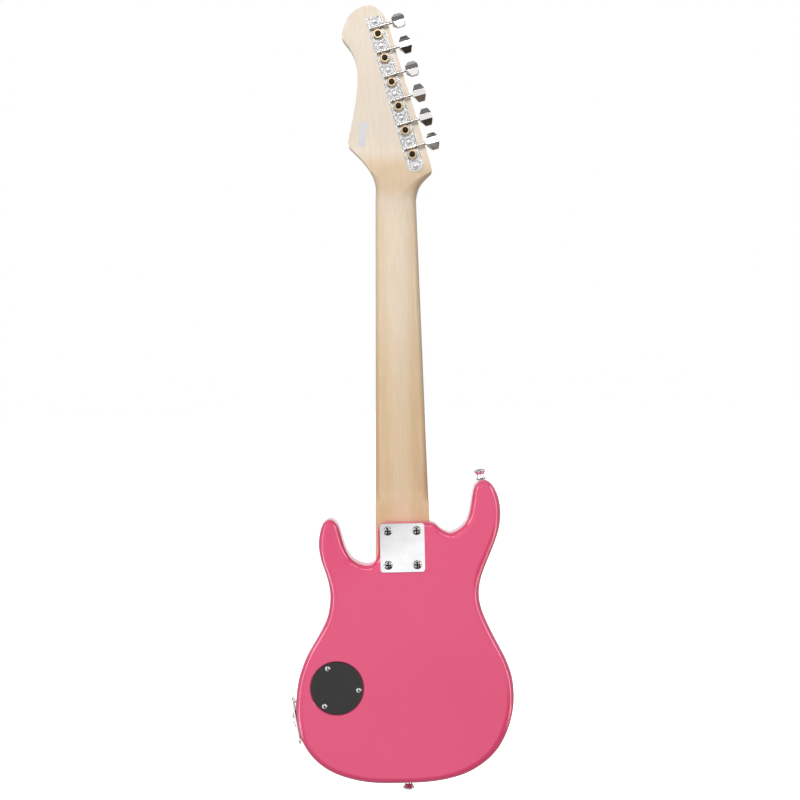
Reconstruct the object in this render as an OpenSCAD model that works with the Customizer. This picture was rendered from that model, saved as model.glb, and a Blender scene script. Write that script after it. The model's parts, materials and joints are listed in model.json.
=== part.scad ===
// Small electric guitar with a bolt-on neck.
// +Z runs up the neck to the headstock, +Y points to the back and -Y to the strings.
// -X is the bass side and +X is the treble side.
// The origin lies under the nut, on the centre line, in the plane of the body's face.

/* [Body] */
// Thickness of the body
body_t = 35; // [33:0.5:40]
// Radius of the rounded edges of the body
body_edge_r = 5; // [3:0.5:5]
// Depth of the pocket that holds the heel of the neck
pocket_depth = 16; // [15:0.5:17]
// Radius of the control cavity
cavity_r = 22.2; // [22:0.1:23]
// Thickness of wood left in front of the control cavity
cavity_wall = 6; // [5:0.5:7]

/* [Neck] */
// Distance from the nut to the saddles
scale_length = 500; // [496:1:504]
// Width of the neck at the nut
nut_w = 40; // [39:0.5:41]
// Width of the neck at the end of the heel
heel_w = 54.9; // [54:0.1:56]
// Distance from the nut to the end of the heel
heel_z = 370; // [368:1:372]
// Number of frets
fret_count = 22; // [20:1:22]
// Thickness of the fretboard
fretboard_t = 4.5; // [4:0.1:5]
// Thickness of the headstock
headstock_t = 14; // [13:0.5:14]

/* [Tuners] */
// Distance between neighbouring tuners
tuner_pitch = 24.5; // [24:0.1:25]
// Angle between the row of tuners and the centre line
tuner_angle = 14.65; // [14.5:0.05:14.8]
// Number of teeth on a tuner gear
gear_teeth = 14; // [13:1:15]
// Axial pitch of the worm on a tuner key
worm_pitch = 2.04; // [2:0.01:2.1]
// Length of a tuner button along its shaft
button_l = 12.6; // [11:0.1:13]
// Width of a tuner button across its shaft
button_w = 17.4; // [15:0.1:18]
// Thickness of a tuner button
button_t = 7.6; // [6:0.1:8]

/* [Strings] */
// Distance between the outer strings at the nut
nut_spread = 32.5; // [31:0.5:33]
// Distance between the outer strings at the bridge
bridge_spread = 52; // [51:0.5:53]

/* [Fittings] */
// Width of the neck plate
neck_plate_w = 43; // [42:0.5:46]
// Length of the neck plate
neck_plate_l = 47; // [46:0.5:50]
// Radius of the control cover
cover_r = 25.5; // [25:0.1:26]
// Length of the plate that holds the output jack
jack_plate_l = 46; // [44:1:48]
// Radius of the bore that takes the plug
jack_bore_r = 3.3; // [3.25:0.05:3.5]
// Radius of a control knob
knob_r = 9; // [8:0.5:10]
// Radius of the waist of a strap button
strap_waist_r = 3; // [2.8:0.1:3.6]

/* [Hidden] */
$fn = 48;

string_count = 6;
clearance = 0.05;    // gap round a fixed screw or pin
running_fit = 0.07;  // gap round a shaft that turns

// Levels along Y
glue_y = -1.5;
board_y = glue_y - fretboard_t;
fret_h = 1;
head_front_y = 4;
head_back_y = head_front_y + headstock_t;
neck_edge_y = 2.5;
neck_back_nut_y = 14;
neck_back_heel_y = 15.5;

// Levels along Z
nut_l = 3.5;
board_end_z = -368;
heel_carve_z = -291;  // at the centre line
heel_carve_drop = 7;  // how much lower the carve is at the edges
heel_carve_l = 5;
saddle_z = -scale_length;

// Half the width of the neck at a height z
function half_w(z) = nut_w / 2 - z / heel_z * (heel_w - nut_w) / 2;

// Outline of the body in X and Z, counted from the bass side of the neck joint
BODY_POINTS = [
    [-30.9, -320], [-36.8, -325.3], [-45.5, -329.5], [-53.3, -327.1], [-60.1, -321.5],
    [-64.3, -313.7], [-66.7, -303.2], [-68.7, -292.2], [-71.5, -283.6], [-78.5, -278.6],
    [-86, -281.7], [-91.2, -289.9], [-94.4, -300.9], [-95, -314], [-92.8, -328.1], [-87.4, -343.2],
    [-80.9, -358.2], [-75.1, -373.1], [-72.6, -388], [-74.6, -403], [-81.1, -420.1], [-89.7, -438],
    [-97.6, -453.9], [-102.9, -469.9], [-104.5, -487], [-103, -504.2], [-97.4, -523], [-88, -539.8],
    [-73.8, -553.5], [-53.5, -564.3], [-26.2, -570.3], [4, -571.5], [34.2, -570.6], [58.5, -565.6],
    [77.7, -557.2], [92.3, -544.8], [102, -529.4], [106.5, -512.1], [107.3, -493], [104.4, -469.9],
    [96.4, -448], [85.7, -430.1], [75.7, -411.1], [71.8, -390], [74.3, -371.2], [79.7, -354.2],
    [82, -338], [79.5, -323], [76.1, -316.5], [71, -314], [66.1, -316.1], [62.1, -322.2],
    [59.4, -332.1], [56.1, -342.8], [50.6, -352.5], [42.2, -357.9], [33.6, -359.3], [28, -356.2],
    [24.9, -349.1], [24.4, -337], [24.6, -327.1], [22.7, -320.7], [16, -318.2], [4, -318],
    [-12, -318], [-23, -318.3]
];
outline_steps = 2;
edge_steps = 4;

// Outline of the headstock as ribs: the bass end and then the treble end of each
HEAD_RIBS = [
    [[-20, -2], [20, -2]], [[-20.8, 2], [19.7, 4]], [[-21.9, 6.5], [19.5, 9]],
    [[-23.9, 11], [20, 14]], [[-28.4, 16.6], [21.6, 20]], [[-34.4, 22], [24.2, 25.5]],
    [[-36, 25], [28.4, 32]], [[-33.8, 35], [34.2, 39]], [[-31, 45.5], [40.4, 45.3]],
    [[-28.9, 53], [45, 50.6]], [[-27.2, 59], [45.2, 55.6]], [[-24.7, 68], [43, 65]],
    [[-20.7, 82], [39.5, 81]], [[-16.1, 98], [36.6, 97]], [[-12.1, 112], [35, 110]],
    [[-8.1, 126], [35, 123]], [[-5, 137], [37, 136]], [[-2.2, 147], [41, 145]],
    [[-0.2, 155], [46.5, 152.5]], [[1.4, 161], [49.4, 158]], [[3.2, 167], [48, 165]],
    [[6, 174], [44.4, 173.5]], [[9.6, 180.4], [40.6, 179.3]], [[15, 185], [35, 183.6]],
    [[21, 187.7], [28.6, 186.6]]
];
rib_steps = 2;
rib_points = 16;
shaft_ribs = 14;

// Tuners, in a frame with its X across the row and its Z along the row
first_tuner = [-17.1, 40.2];
plate_t = 1;
plate_half_w = 8;
plate_end_rise = 2;  // from the last screw to the centre of the plate's round end
plate_end_steps = 16;
plate_y = head_back_y + plate_t;
worm_pitch_r = 2.05;
worm_root_r = 1.62;
worm_outer_r = 2.4;
worm_turns = 4;
worm_tip_w = 0.4;
worm_base_w = 1.2;
worm_steps = 16;
gear_pitch_r = gear_teeth * worm_pitch / (2 * PI);
gear_root_r = gear_pitch_r - 0.62;
gear_outer_r = gear_pitch_r + 0.4;
worm_z = gear_pitch_r + worm_pitch_r;
worm_y = plate_y + worm_outer_r + 0.2;
gear_half_t = 1;
key_r = 1.4;
ear_x = 4.6;
ear_t = 1;
ear_r = 3;
post_r = 3;
post_waist_r = 2.6;
post_top_y = -7;
post_bore_r = 1;
shank_half_w = 1.6;
screw_step = 13.5;
last_screw_z = -10.8;
button_start_x = -16.3;
// How far each button is turned round its shaft
BUTTON_TURNS = [12, 3, -3, 26, 4, 28];
coil_y = -1.6;

// Strings from bass to treble
STRING_R = [0.53, 0.4, 0.3, 0.2, 0.14, 0.115];
string_nut_y = board_y - fret_h - 0.7;
ridge_y = board_y - 3.6;
flange_z = saddle_z - 19;
flange_t = 1.5;
anchor_y = -8.2;
string_sides = 10;
tree_bar_y = -2.2;
TREES = [[1, 58, 2], [13.6, 72, 4]];  // X, Z and the first of the two strings held

// Bridge
bridge_half_w = 40;
bridge_top_z = saddle_z + 13;
bridge_t = 1.6;
saddle_w = 9.8;
saddle_l = 13;
saddle_low_y = -2.6;
saddle_back_y = -7.4;
intonation_y = -4.4;
intonation_r = 1.2;
height_screw_x = 3;
height_screw_r = 1.3;

// Pickup
pickup_z = -455;
bobbin_l = 66;
bobbin_w = 17;
bobbin_gap = 18.8;
bobbin_top_y = -6.2;
pole_step = 10.2;

// Controls
cavity = [66.8, -477];
cover_t = 1.8;
cover_screw_d = 21.1;
COVER_ANGLES = [114, -6, -126];
volume_at = [cavity[0] - 7.6, cavity[1] + 10.5];
tone_at = [cavity[0] - 5.3, cavity[1] - 11.9];
pot_r = 8;
pot_l = 8;
shaft_r = 3;

// Neck plate
neck_plate_at = [0.7, -342.2];
neck_plate_t = 1.6;
bolt_dx = 28;
bolt_dz = 33;
bolt_r = 2.2;

// Output jack, in a frame whose Z points out of the side of the body
jack_at = [106.83, body_t / 2, -510];
jack_turn = 99;
jack_plate_w = 24;
jack_plate_t = 1.5;
jack_screw_x = 18;
jack_thread_r = 4.7;

// Strap buttons: place and lean from +Z
TAIL_AT = [-0.5, body_t / 2, -571.5];
HORN_AT = [-77.5, body_t / 2, -278.5];
horn_lean = 8;
washer_t = 0.8;
strap_head_r = 5.9;
strap_l = 9;

pink = [0.90, 0.36, 0.51];
maple = [0.88, 0.79, 0.66];
rosewood = [0.24, 0.16, 0.12];
chrome = [0.82, 0.82, 0.84];
steel = [0.66, 0.66, 0.68];
brass = [0.80, 0.63, 0.32];
black = [0.12, 0.12, 0.13];
ivory = [0.93, 0.91, 0.86];

// ---- Curves ----

// A point on a smooth curve between b and c, with a and d as its neighbours
function curve_point(a, b, c, d, t) =
    (2 * b + (c - a) * t + (2 * a - 5 * b + 4 * c - d) * t * t
    + (3 * b - a - 3 * c + d) * t * t * t) / 2;

// A closed smooth curve through points
function closed_curve(points, steps) =
    let (n = len(points))
    [for (i = [0:n - 1])
        for (k = [0:steps - 1])
            curve_point(points[(i + n - 1) % n], points[i], points[(i + 1) % n],
                        points[(i + 2) % n], k / steps)];

// An open smooth curve through points, ends included
function open_curve(points, steps) =
    let (n = len(points))
    concat(
        [for (i = [0:n - 2])
            for (k = [0:steps - 1])
                curve_point(points[max(i - 1, 0)], points[i], points[i + 1],
                            points[min(i + 2, n - 1)], k / steps)],
        [points[n - 1]]);

// A closed outline moved inwards by d
function inset(points, d) =
    let (n = len(points))
    [for (i = [0:n - 1])
        let (along = points[(i + 1) % n] - points[(i + n - 1) % n],
             unit = along / norm(along))
        points[i] + d * [-unit[1], unit[0]]];

// Faces between rings with the same number of points
function side_faces(n, rings) = concat(
    [for (j = [0:rings - 2]) for (i = [0:n - 1])
        [j * n + i, (j + 1) * n + (i + 1) % n, j * n + (i + 1) % n]],
    [for (j = [0:rings - 2]) for (i = [0:n - 1])
        [j * n + i, (j + 1) * n + i, (j + 1) * n + (i + 1) % n]]);

// Faces of a solid made of rings whose two ends are convex
function ring_faces(n, rings) = concat(
    [[for (i = [0:n - 1]) i]],
    side_faces(n, rings),
    [[for (i = [n - 1:-1:0]) (rings - 1) * n + i]]);

// Twice the area of a triangle, above 0 when it turns to the left
function turn(a, b, c) = (b[0] - a[0]) * (c[1] - a[1]) - (b[1] - a[1]) * (c[0] - a[0]);

function in_triangle(p, a, b, c) =
    turn(a, b, p) >= 0 && turn(b, c, p) >= 0 && turn(c, a, p) >= 0;

// The three corners met at place k of a loop
function corners(loop, k) =
    let (n = len(loop))
    [loop[(k + n - 1) % n], loop[k], loop[(k + 1) % n]];

// Whether the corner at place k can be cut off without cutting another part of the loop
function is_ear(points, loop, k) =
    let (ids = corners(loop, k),
         a = points[ids[0]],
         b = points[ids[1]],
         c = points[ids[2]])
    turn(a, b, c) > 0
    && len([for (id = loop)
               if (id != ids[0] && id != ids[1] && id != ids[2]
                   && in_triangle(points[id], a, b, c))
                   id]) == 0;

function first_ear(points, loop, k = 0) = is_ear(points, loop, k) ? k : first_ear(points, loop, k + 1);

// Triangles that fill a closed outline of any shape
function fill(points, loop) =
    len(loop) == 3 ? [loop] :
    let (k = first_ear(points, loop))
    concat([corners(loop, k)],
           fill(points, [for (i = [0:len(loop) - 1]) if (i != k) loop[i]]));

// A smooth step from 0 at a to 1 at b
function ramp(a, b, x) =
    let (t = max(0, min(1, (x - a) / (b - a))))
    t * t * (3 - 2 * t);

// ---- Helpers ----

// A flat shape drawn in X and Z, with its thickness from y0 to y1
module slab(y0, y1) {
    translate([0, y1, 0])
        rotate([90, 0, 0])
            linear_extrude(y1 - y0)
                children();
}

// A round bar along Y
module rod_y(x, z, y0, y1, r) {
    translate([x, y0, z])
        rotate([-90, 0, 0])
            cylinder(r = r, h = y1 - y0);
}

// A round bar along X
module rod_x(x0, x1, y, z, r) {
    translate([x0, y, z])
        rotate([0, 90, 0])
            cylinder(r = r, h = x1 - x0);
}

// A box given by two opposite corners
module block(a, b) {
    translate(a)
        cube(b - a);
}

// A straight round bar between two points
module bar(a, b, r) {
    along = b - a;
    flat = norm([along[0], along[1]]);
    translate(a)
        rotate([0, atan2(flat, along[2]), atan2(along[1], along[0])])
            cylinder(r = r, h = norm(along), $fn = 16);
}

// A rectangle with round corners
module round_rect(w, l, r) {
    for (x = [-1, 1])
        for (y = [-1, 1])
            translate([x * (w / 2 - r), y * (l / 2 - r)])
                circle(r);
    square([w - 2 * r, l], center = true);
    square([w, l - 2 * r], center = true);
}

// A cross-slotted screw whose head faces +Z and whose head meets the surface at z = 0
module cross_screw(head_r, head_h, shank_r, length) {
    slot_w = head_r * 0.3;
    slot_d = head_h * 0.8;
    difference() {
        union() {
            rotate_extrude()
                polygon([[0, 0], [head_r, 0], [head_r * 0.94, head_h * 0.4],
                         [head_r * 0.7, head_h * 0.85], [head_r * 0.35, head_h], [0, head_h]]);
            translate([0, 0, -length])
                cylinder(r = shank_r, h = length);
        }
        for (turn = [0, 90])
            rotate([0, 0, turn])
                translate([-head_r * 0.6, -slot_w / 2, head_h - slot_d])
                    cube([head_r * 1.2, slot_w, head_h]);
    }
}

// The same screw with its head facing the back
module screw_back(x, y, z, head_r, head_h, shank_r, length) {
    translate([x, y, z])
        rotate([-90, 0, 0])
            cross_screw(head_r, head_h, shank_r, length);
}

// The same screw with its head facing the strings
module screw_front(x, y, z, head_r, head_h, shank_r, length) {
    translate([x, y, z])
        rotate([90, 0, 0])
            cross_screw(head_r, head_h, shank_r, length);
}

module at_tuner(i) {
    x = first_tuner[0] + i * tuner_pitch * sin(tuner_angle);
    z = first_tuner[1] + i * tuner_pitch * cos(tuner_angle);
    translate([x, 0, z])
        rotate([0, tuner_angle, 0])
            children();
}

module at_jack() {
    translate(jack_at)
        rotate([0, jack_turn, 0])
            children();
}

module at_tail_button() {
    translate(TAIL_AT)
        rotate([180, 0, 0])
            children();
}

module at_horn_button() {
    translate(HORN_AT)
        rotate([0, horn_lean, 0])
            children();
}

// ---- Wood ----

// The solid shape of the body before its pockets are cut
module body_blank() {
    outline = closed_curve(BODY_POINTS, outline_steps);
    levels = concat(
        [for (k = [0:edge_steps])
            let (a = 90 * k / edge_steps)
            [body_edge_r * (1 - sin(a)), body_edge_r * (1 - cos(a))]],
        [for (k = [edge_steps:-1:0])
            let (a = 90 * k / edge_steps)
            [body_edge_r * (1 - sin(a)), body_t - body_edge_r * (1 - cos(a))]]);
    points = [for (level = levels)
        for (p = inset(outline, level[0]))
            [p[0], p[1], level[1]]];
    n = len(outline);
    last = n * (len(levels) - 1);
    end_face = fill(inset(outline, body_edge_r), [for (i = [0:n - 1]) i]);
    translate([0, body_t, 0])
        rotate([90, 0, 0])
            polyhedron(points, concat(
                end_face,
                side_faces(n, len(levels)),
                [for (t = end_face) [t[2] + last, t[1] + last, t[0] + last]]));
}

// The round control cavity, with wood left for the cover screws
module control_cavity() {
    difference() {
        rod_y(cavity[0], cavity[1], cavity_wall, body_t + 1, cavity_r);
        for (a = COVER_ANGLES)
            rod_y(cavity[0] - cover_screw_d * cos(a), cavity[1] + cover_screw_d * sin(a),
                  0, body_t, 4.4);
    }
    rod_y(cavity[0], cavity[1], body_t - cover_t - 0.1, body_t + 1, cover_r + 0.3);
}

module neck_pocket() {
    top = -300;
    gap = 0.15;
    slab(-1, pocket_depth)
        polygon([[-half_w(top) - gap, top], [-half_w(-heel_z) - gap, -heel_z - gap],
                 [half_w(-heel_z) + gap, -heel_z - gap], [half_w(top) + gap, top]]);
}

module body() {
    color(pink)
        difference() {
            body_blank();
            neck_pocket();
            control_cavity();
            block([-35.5, -1, pickup_z - 19.8], [35.5, 20, pickup_z + 19.8]);
            bar([30, 14, pickup_z - 8], [cavity[0] - 16, 14, cavity[1] + 4], 3);
            for (at = [volume_at, tone_at])
                rod_y(at[0], at[1], -1, cavity_wall + 1, 3.6);
            at_jack() {
                translate([0, 0, -34])
                    cylinder(r = 9, h = 45);
                for (x = [-jack_screw_x, jack_screw_x])
                    translate([x, 0, -12])
                        cylinder(r = 1.3 + clearance, h = 20);
            }
            bar([78, body_t / 2, -502], [cavity[0] + 8, body_t / 2, cavity[1] - 8], 3);
            at_tail_button()
                translate([0, 0, -26])
                    cylinder(r = 1.8 + clearance, h = 30);
            at_horn_button()
                translate([0, 0, -26])
                    cylinder(r = 1.8 + clearance, h = 30);
            for (x = [-1, 1])
                for (z = [-1, 1]) {
                    rod_y(neck_plate_at[0] + x * bolt_dx / 2, neck_plate_at[1] + z * bolt_dz / 2,
                          pocket_depth - 1, body_t + 1, bolt_r + 0.3);
                    rod_y(x * 39.6, pickup_z + z * 17.6, -1, 9, 1 + clearance);
                }
            for (x = [-35, -12, 12, 35])
                rod_y(x, bridge_top_z - 4, -1, 16, 1.6 + clearance);
            for (a = COVER_ANGLES)
                rod_y(cavity[0] - cover_screw_d * cos(a), cavity[1] + cover_screw_d * sin(a),
                      body_t - 14, body_t, 1.2 + clearance);
        }
}

// Distance of the back of the neck from the face plane; a runs from 0 to 180 across it
function back_y(a, z) =
    let (edge = neck_edge_y + 17 * ramp(0, 32, z),
         crown = neck_back_nut_y - min(z, 0) / 300 * (neck_back_heel_y - neck_back_nut_y)
                 + 6.6 * ramp(-26, 20, z),
         rounded = edge + (crown - edge) * pow(max(sin(a), 0), 0.85),
         carve_z = heel_carve_z - heel_carve_drop * pow(cos(a), 2),
         heel = ramp(carve_z + heel_carve_l, carve_z - heel_carve_l, z))
    rounded + (pocket_depth - rounded) * heel;

// Distance of the front of the neck from the face plane
function front_y(z) = glue_y + (head_front_y - glue_y) * ramp(nut_l, 22, z);

// Section of the neck along one rib
function rib_section(bass, treble) = concat(
    [[bass[0], front_y(bass[1]), bass[1]], [treble[0], front_y(treble[1]), treble[1]]],
    [for (k = [0:rib_points])
        let (a = 180 * k / rib_points,
             p = treble + (bass - treble) * (1 - cos(a)) / 2)
        [p[0], back_y(a, p[1]), p[1]]]);

module neck_blank() {
    heel_zs = [-heel_z, -318, -308, -305, -302, -299, -296, -293, -290, -287, -284];
    shaft_zs = [for (k = [1:shaft_ribs]) -284 + 256 * k / shaft_ribs];
    scoop_zs = [-24, -20, -16, -12, -8, -5];
    zs = concat(heel_zs, shaft_zs, scoop_zs);
    ribs = concat([for (z = zs) [[-half_w(z), z], [half_w(z), z]]],
                  open_curve(HEAD_RIBS, rib_steps));
    points = [for (rib = ribs)
        for (p = rib_section(rib[0], rib[1]))
            p];
    difference() {
        polyhedron(points, ring_faces(rib_points + 3, len(ribs)));
        block([-80, head_back_y, -40], [80, head_back_y + 20, 200]);
    }
}

module neck() {
    color(maple)
        difference() {
            neck_blank();
            block([-3.1, glue_y - 1, board_end_z + 12], [3.1, 6, 13]);
            for (i = [0:string_count - 1])
                at_tuner(i) {
                    rod_y(0, 0, 0, head_back_y + 1, 4 + clearance);
                    rod_y(0, screw_step, head_back_y - 9, head_back_y + 1, 1 + clearance);
                }
            at_tuner(0)
                rod_y(0, last_screw_z, head_back_y - 9, head_back_y + 1, 1 + clearance);
            for (x = [-1, 1])
                for (z = [-1, 1])
                    rod_y(neck_plate_at[0] + x * bolt_dx / 2, neck_plate_at[1] + z * bolt_dz / 2,
                          3, pocket_depth + 1, bolt_r + clearance);
            for (tree = TREES)
                rod_y(tree[0], tree[1], head_front_y - 1, head_front_y + 8, 1 + clearance);
        }
}

// ---- Fretboard ----

function fret_z(n) = -scale_length * (1 - pow(2, -n / 12));

function dot_count(n) = n == 12 ? 2 : 1;

DOT_FRETS = [3, 5, 7, 9, 12, 15, 17, 19, 21];
dot_r = 3;
dot_t = 1;
tang_w = 0.5;
tang_d = 1.6;

module dots(r, depth) {
    for (n = DOT_FRETS)
        for (k = [1:dot_count(n)])
            rod_y(dot_count(n) == 2 ? (k - 1.5) * 20 : 0, (fret_z(n) + fret_z(n - 1)) / 2,
                  board_y - 0.5, board_y + depth, r);
}

module fretboard() {
    color(rosewood)
        difference() {
            slab(board_y, glue_y)
                polygon([[-half_w(0), 0], [-half_w(board_end_z), board_end_z],
                         [half_w(board_end_z), board_end_z], [half_w(0), 0]]);
            dots(dot_r, dot_t);
            for (n = [1:fret_count])
                block([-40, board_y - 1, fret_z(n) - tang_w / 2],
                      [40, board_y + tang_d, fret_z(n) + tang_w / 2]);
        }
}

module frets() {
    crown_r = 1.15;
    color(steel)
        for (n = [1:fret_count]) {
            reach = half_w(fret_z(n)) - 0.3;
            intersection() {
                rod_x(-reach, reach, board_y + crown_r - fret_h, fret_z(n), crown_r);
                block([-40, board_y - 2, fret_z(n) - 2], [40, board_y, fret_z(n) + 2]);
            }
            block([-reach, board_y, fret_z(n) - tang_w / 2 + 0.02],
                  [reach, board_y + tang_d - 0.05, fret_z(n) + tang_w / 2 - 0.02]);
        }
}

module fret_dots() {
    color(ivory)
        intersection() {
            dots(dot_r - 0.02, dot_t);
            block([-40, board_y, board_end_z], [40, glue_y, 0]);
        }
}

function nut_x(i) = -nut_spread / 2 + i * nut_spread / (string_count - 1);

module nut() {
    top_y = string_nut_y - 0.4;
    color(ivory)
        difference() {
            block([-nut_w / 2 + 0.2, top_y, 0.05], [nut_w / 2 - 0.2, glue_y, nut_l]);
            for (i = [0:string_count - 1]) {
                slot_r = STRING_R[i] + 0.03;
                block([nut_x(i) - slot_r, top_y - 1, -1],
                      [nut_x(i) + slot_r, string_nut_y + slot_r + 0.1, nut_l + 1]);
            }
        }
}

module truss_rod() {
    color(steel) {
        rod_z = board_end_z + 14;
        translate([0, 2.6, rod_z])
            cylinder(r = 2.4, h = 2 - rod_z);
        translate([0, 2.6, 2])
            cylinder(r = 2.9, h = 9, $fn = 6);
    }
}

module string_trees() {
    color(chrome)
        for (tree = TREES) {
            block([tree[0] - 4.6, tree_bar_y - 1.2, tree[1] - 1.7],
                  [tree[0] + 4.6, tree_bar_y, tree[1] + 1.7]);
            rod_y(tree[0], tree[1], tree_bar_y, head_front_y, 1.8);
            screw_front(tree[0], tree_bar_y - 1.2, tree[1], 1.9, 1, 1, 14);
        }
}

// ---- Tuners ----

// The outline of the long stamped plate under all six tuners, with notches along its sides
module plate_outline() {
    top = (string_count - 1) * tuner_pitch + screw_step + 4.5;
    end_r = norm([plate_half_w, plate_end_rise]);
    spread = atan2(plate_half_w, plate_end_rise);
    difference() {
        polygon(concat([[plate_half_w, top], [-plate_half_w, top]],
            [for (k = [0:plate_end_steps])
                let (a = -90 + spread * (2 * k / plate_end_steps - 1))
                [end_r * cos(a), last_screw_z + plate_end_rise + end_r * sin(a)]]));
        for (x = [-plate_half_w, plate_half_w]) {
            for (i = [0:string_count - 1])
                translate([x * 1.04, i * tuner_pitch + 2.8])
                    circle(r = 1.5);
            translate([x * 1.15, last_screw_z + 4.6])
                circle(r = 2.6);
        }
    }
}

module tuner_plate() {
    color(chrome)
        difference() {
            union() {
                at_tuner(0)
                    slab(head_back_y, plate_y)
                        plate_outline();
                for (i = [0:string_count - 1])
                    at_tuner(i)
                        for (x = [-ear_x - ear_t, ear_x]) {
                            block([x, head_back_y, worm_z - ear_r], [x + ear_t, worm_y, worm_z + ear_r]);
                            rod_x(x, x + ear_t, worm_y, worm_z, ear_r);
                        }
            }
            for (i = [0:string_count - 1])
                at_tuner(i) {
                    rod_y(0, 0, head_back_y - 1, plate_y + 1, post_r + 0.3);
                    rod_y(0, screw_step, head_back_y - 1, plate_y + 1, 1.2);
                    rod_x(-ear_x - ear_t - 1, ear_x + ear_t + 1, worm_y, worm_z, key_r + running_fit);
                }
            at_tuner(0)
                rod_y(0, last_screw_z, head_back_y - 1, plate_y + 1, 1.2);
        }
}

module tuner_plate_screws() {
    color(chrome) {
        for (i = [0:string_count - 1])
            at_tuner(i)
                screw_back(0, plate_y, screw_step, 2.3, 1.1, 1, 8.5);
        at_tuner(0)
            screw_back(0, plate_y, last_screw_z, 2.3, 1.1, 1, 8.5);
    }
}

module post_bushings() {
    color(chrome)
        for (i = [0:string_count - 1])
            at_tuner(i)
                difference() {
                    union() {
                        rod_y(0, 0, head_front_y - 1.2, head_front_y, 5.2);
                        rod_y(0, 0, head_front_y, head_front_y + 10, 4);
                    }
                    rod_y(0, 0, 0, head_back_y, post_r + running_fit);
                }
}

// Radius of the worm at a point of its pitch; the thread is centred on a phase of a half
function worm_r(phase) =
    let (off = abs(phase - floor(phase) - 0.5) * worm_pitch)
    worm_root_r + (worm_outer_r - worm_root_r)
        * (1 - max(0, min(1, (off - worm_tip_w / 2) / (worm_base_w / 2 - worm_tip_w / 2))));

// The worm, with a right-handed thread round the X axis
module worm() {
    rings = worm_turns * worm_steps / 2;
    step = worm_pitch * worm_turns / rings;
    points = [for (k = [0:rings])
        let (x = (k - rings / 2) * step,
             is_end = k == 0 || k == rings)
        for (j = [0:worm_steps - 1])
            let (a = 360 * j / worm_steps,
                 r = is_end ? worm_root_r : worm_r(x / worm_pitch - a / 360 + 0.75))
            [x, r * cos(a), r * sin(a)]];
    polyhedron(points, ring_faces(worm_steps, rings + 1));
}

// The grip on the end of a key: six flat sides, and wide shoulders near its far end
module key_button() {
    end_x = button_start_x - button_l;
    half_w = button_w / 2;
    half_t = button_t / 2;
    intersection() {
        slab(-half_w, half_w)
            polygon([[button_start_x, 1.9], [button_start_x - 3.8, half_w], [end_x + 2.6, half_w],
                     [end_x + 0.5, half_w * 0.45], [end_x, 0], [end_x + 0.5, -half_w * 0.45],
                     [end_x + 2.6, -half_w], [button_start_x - 3.8, -half_w],
                     [button_start_x, -1.9]]);
        translate([end_x, 0, 0])
            rotate([90, 0, 90])
                linear_extrude(button_l)
                    polygon([[-half_t, -2.8], [-half_t, 2.8], [-1, half_w], [1, half_w],
                             [half_t, 2.8], [half_t, -2.8], [1, -half_w], [-1, -half_w]]);
        slab(-half_w, half_w)
            polygon([[button_start_x, 20], [end_x, 20], [end_x, -20], [button_start_x, -20]]);
    }
}

module tuner_key(i) {
    at_tuner(i) {
        color(chrome)
            difference() {
                translate([0, worm_y, worm_z])
                    rotate([BUTTON_TURNS[i], 0, 0])
                        key_button();
                rod_x(button_start_x - 9, 0, worm_y, worm_z, key_r + 0.01);
            }
        color(steel)
            translate([0, worm_y, worm_z]) {
                rod_x(button_start_x - 8.9, ear_x + ear_t + 0.8, 0, 0, key_r);
                worm();
            }
    }
}

module gear_outline() {
    tooth = 0.72 / gear_pitch_r * 90 / PI;
    polygon([for (k = [0:gear_teeth - 1])
        for (p = [[-tooth * 1.5, gear_root_r], [-tooth * 0.8, gear_outer_r],
                  [tooth * 0.8, gear_outer_r], [tooth * 1.5, gear_root_r]])
            let (a = 90 - 360 * k / gear_teeth - p[0])
            [p[1] * cos(a), p[1] * sin(a)]]);
}

module tuner_gear(i) {
    at_tuner(i) {
        color(brass)
            slab(worm_y - gear_half_t, worm_y + gear_half_t)
                difference() {
                    gear_outline();
                    square(2 * shank_half_w + 0.06, center = true);
                }
        color(black)
            screw_back(0, worm_y + gear_half_t, 0, 3, 1.1, 0.9, 6);
    }
}

// A post that takes one string, with the turns of the string round its waist
module tuner_post(i) {
    coil_r = post_waist_r + 1.1 * STRING_R[i] + 0.3;
    low_y = worm_y - gear_half_t;
    at_tuner(i) {
        color(chrome)
            difference() {
                union() {
                    rod_y(0, 0, post_top_y, post_top_y + 2.5, post_r);
                    rod_y(0, 0, post_top_y + 2.5, 0.5, post_waist_r);
                    rod_y(0, 0, 0.5, low_y, post_r);
                    block([-shank_half_w, low_y, -shank_half_w],
                          [shank_half_w, low_y + 2 * gear_half_t - 0.1, shank_half_w]);
                }
                rod_y(0, 0, low_y - 5, low_y + 4, post_bore_r);
                rod_x(-5, 5, -3.6, 0, 0.7);
            }
        color(steel)
            difference() {
                rod_y(0, 0, coil_y - 1, coil_y + 1, coil_r);
                rod_y(0, 0, coil_y - 2, coil_y + 2, post_waist_r + 0.02);
            }
    }
}

// ---- Strings ----

function bridge_x(i) = -bridge_spread / 2 + i * bridge_spread / (string_count - 1);

function contact_z(i) = saddle_z - 0.5 - 0.5 * (string_count - 1 - i);

function post_at(i) = first_tuner
    + i * tuner_pitch * [sin(tuner_angle), cos(tuner_angle)];

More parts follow.
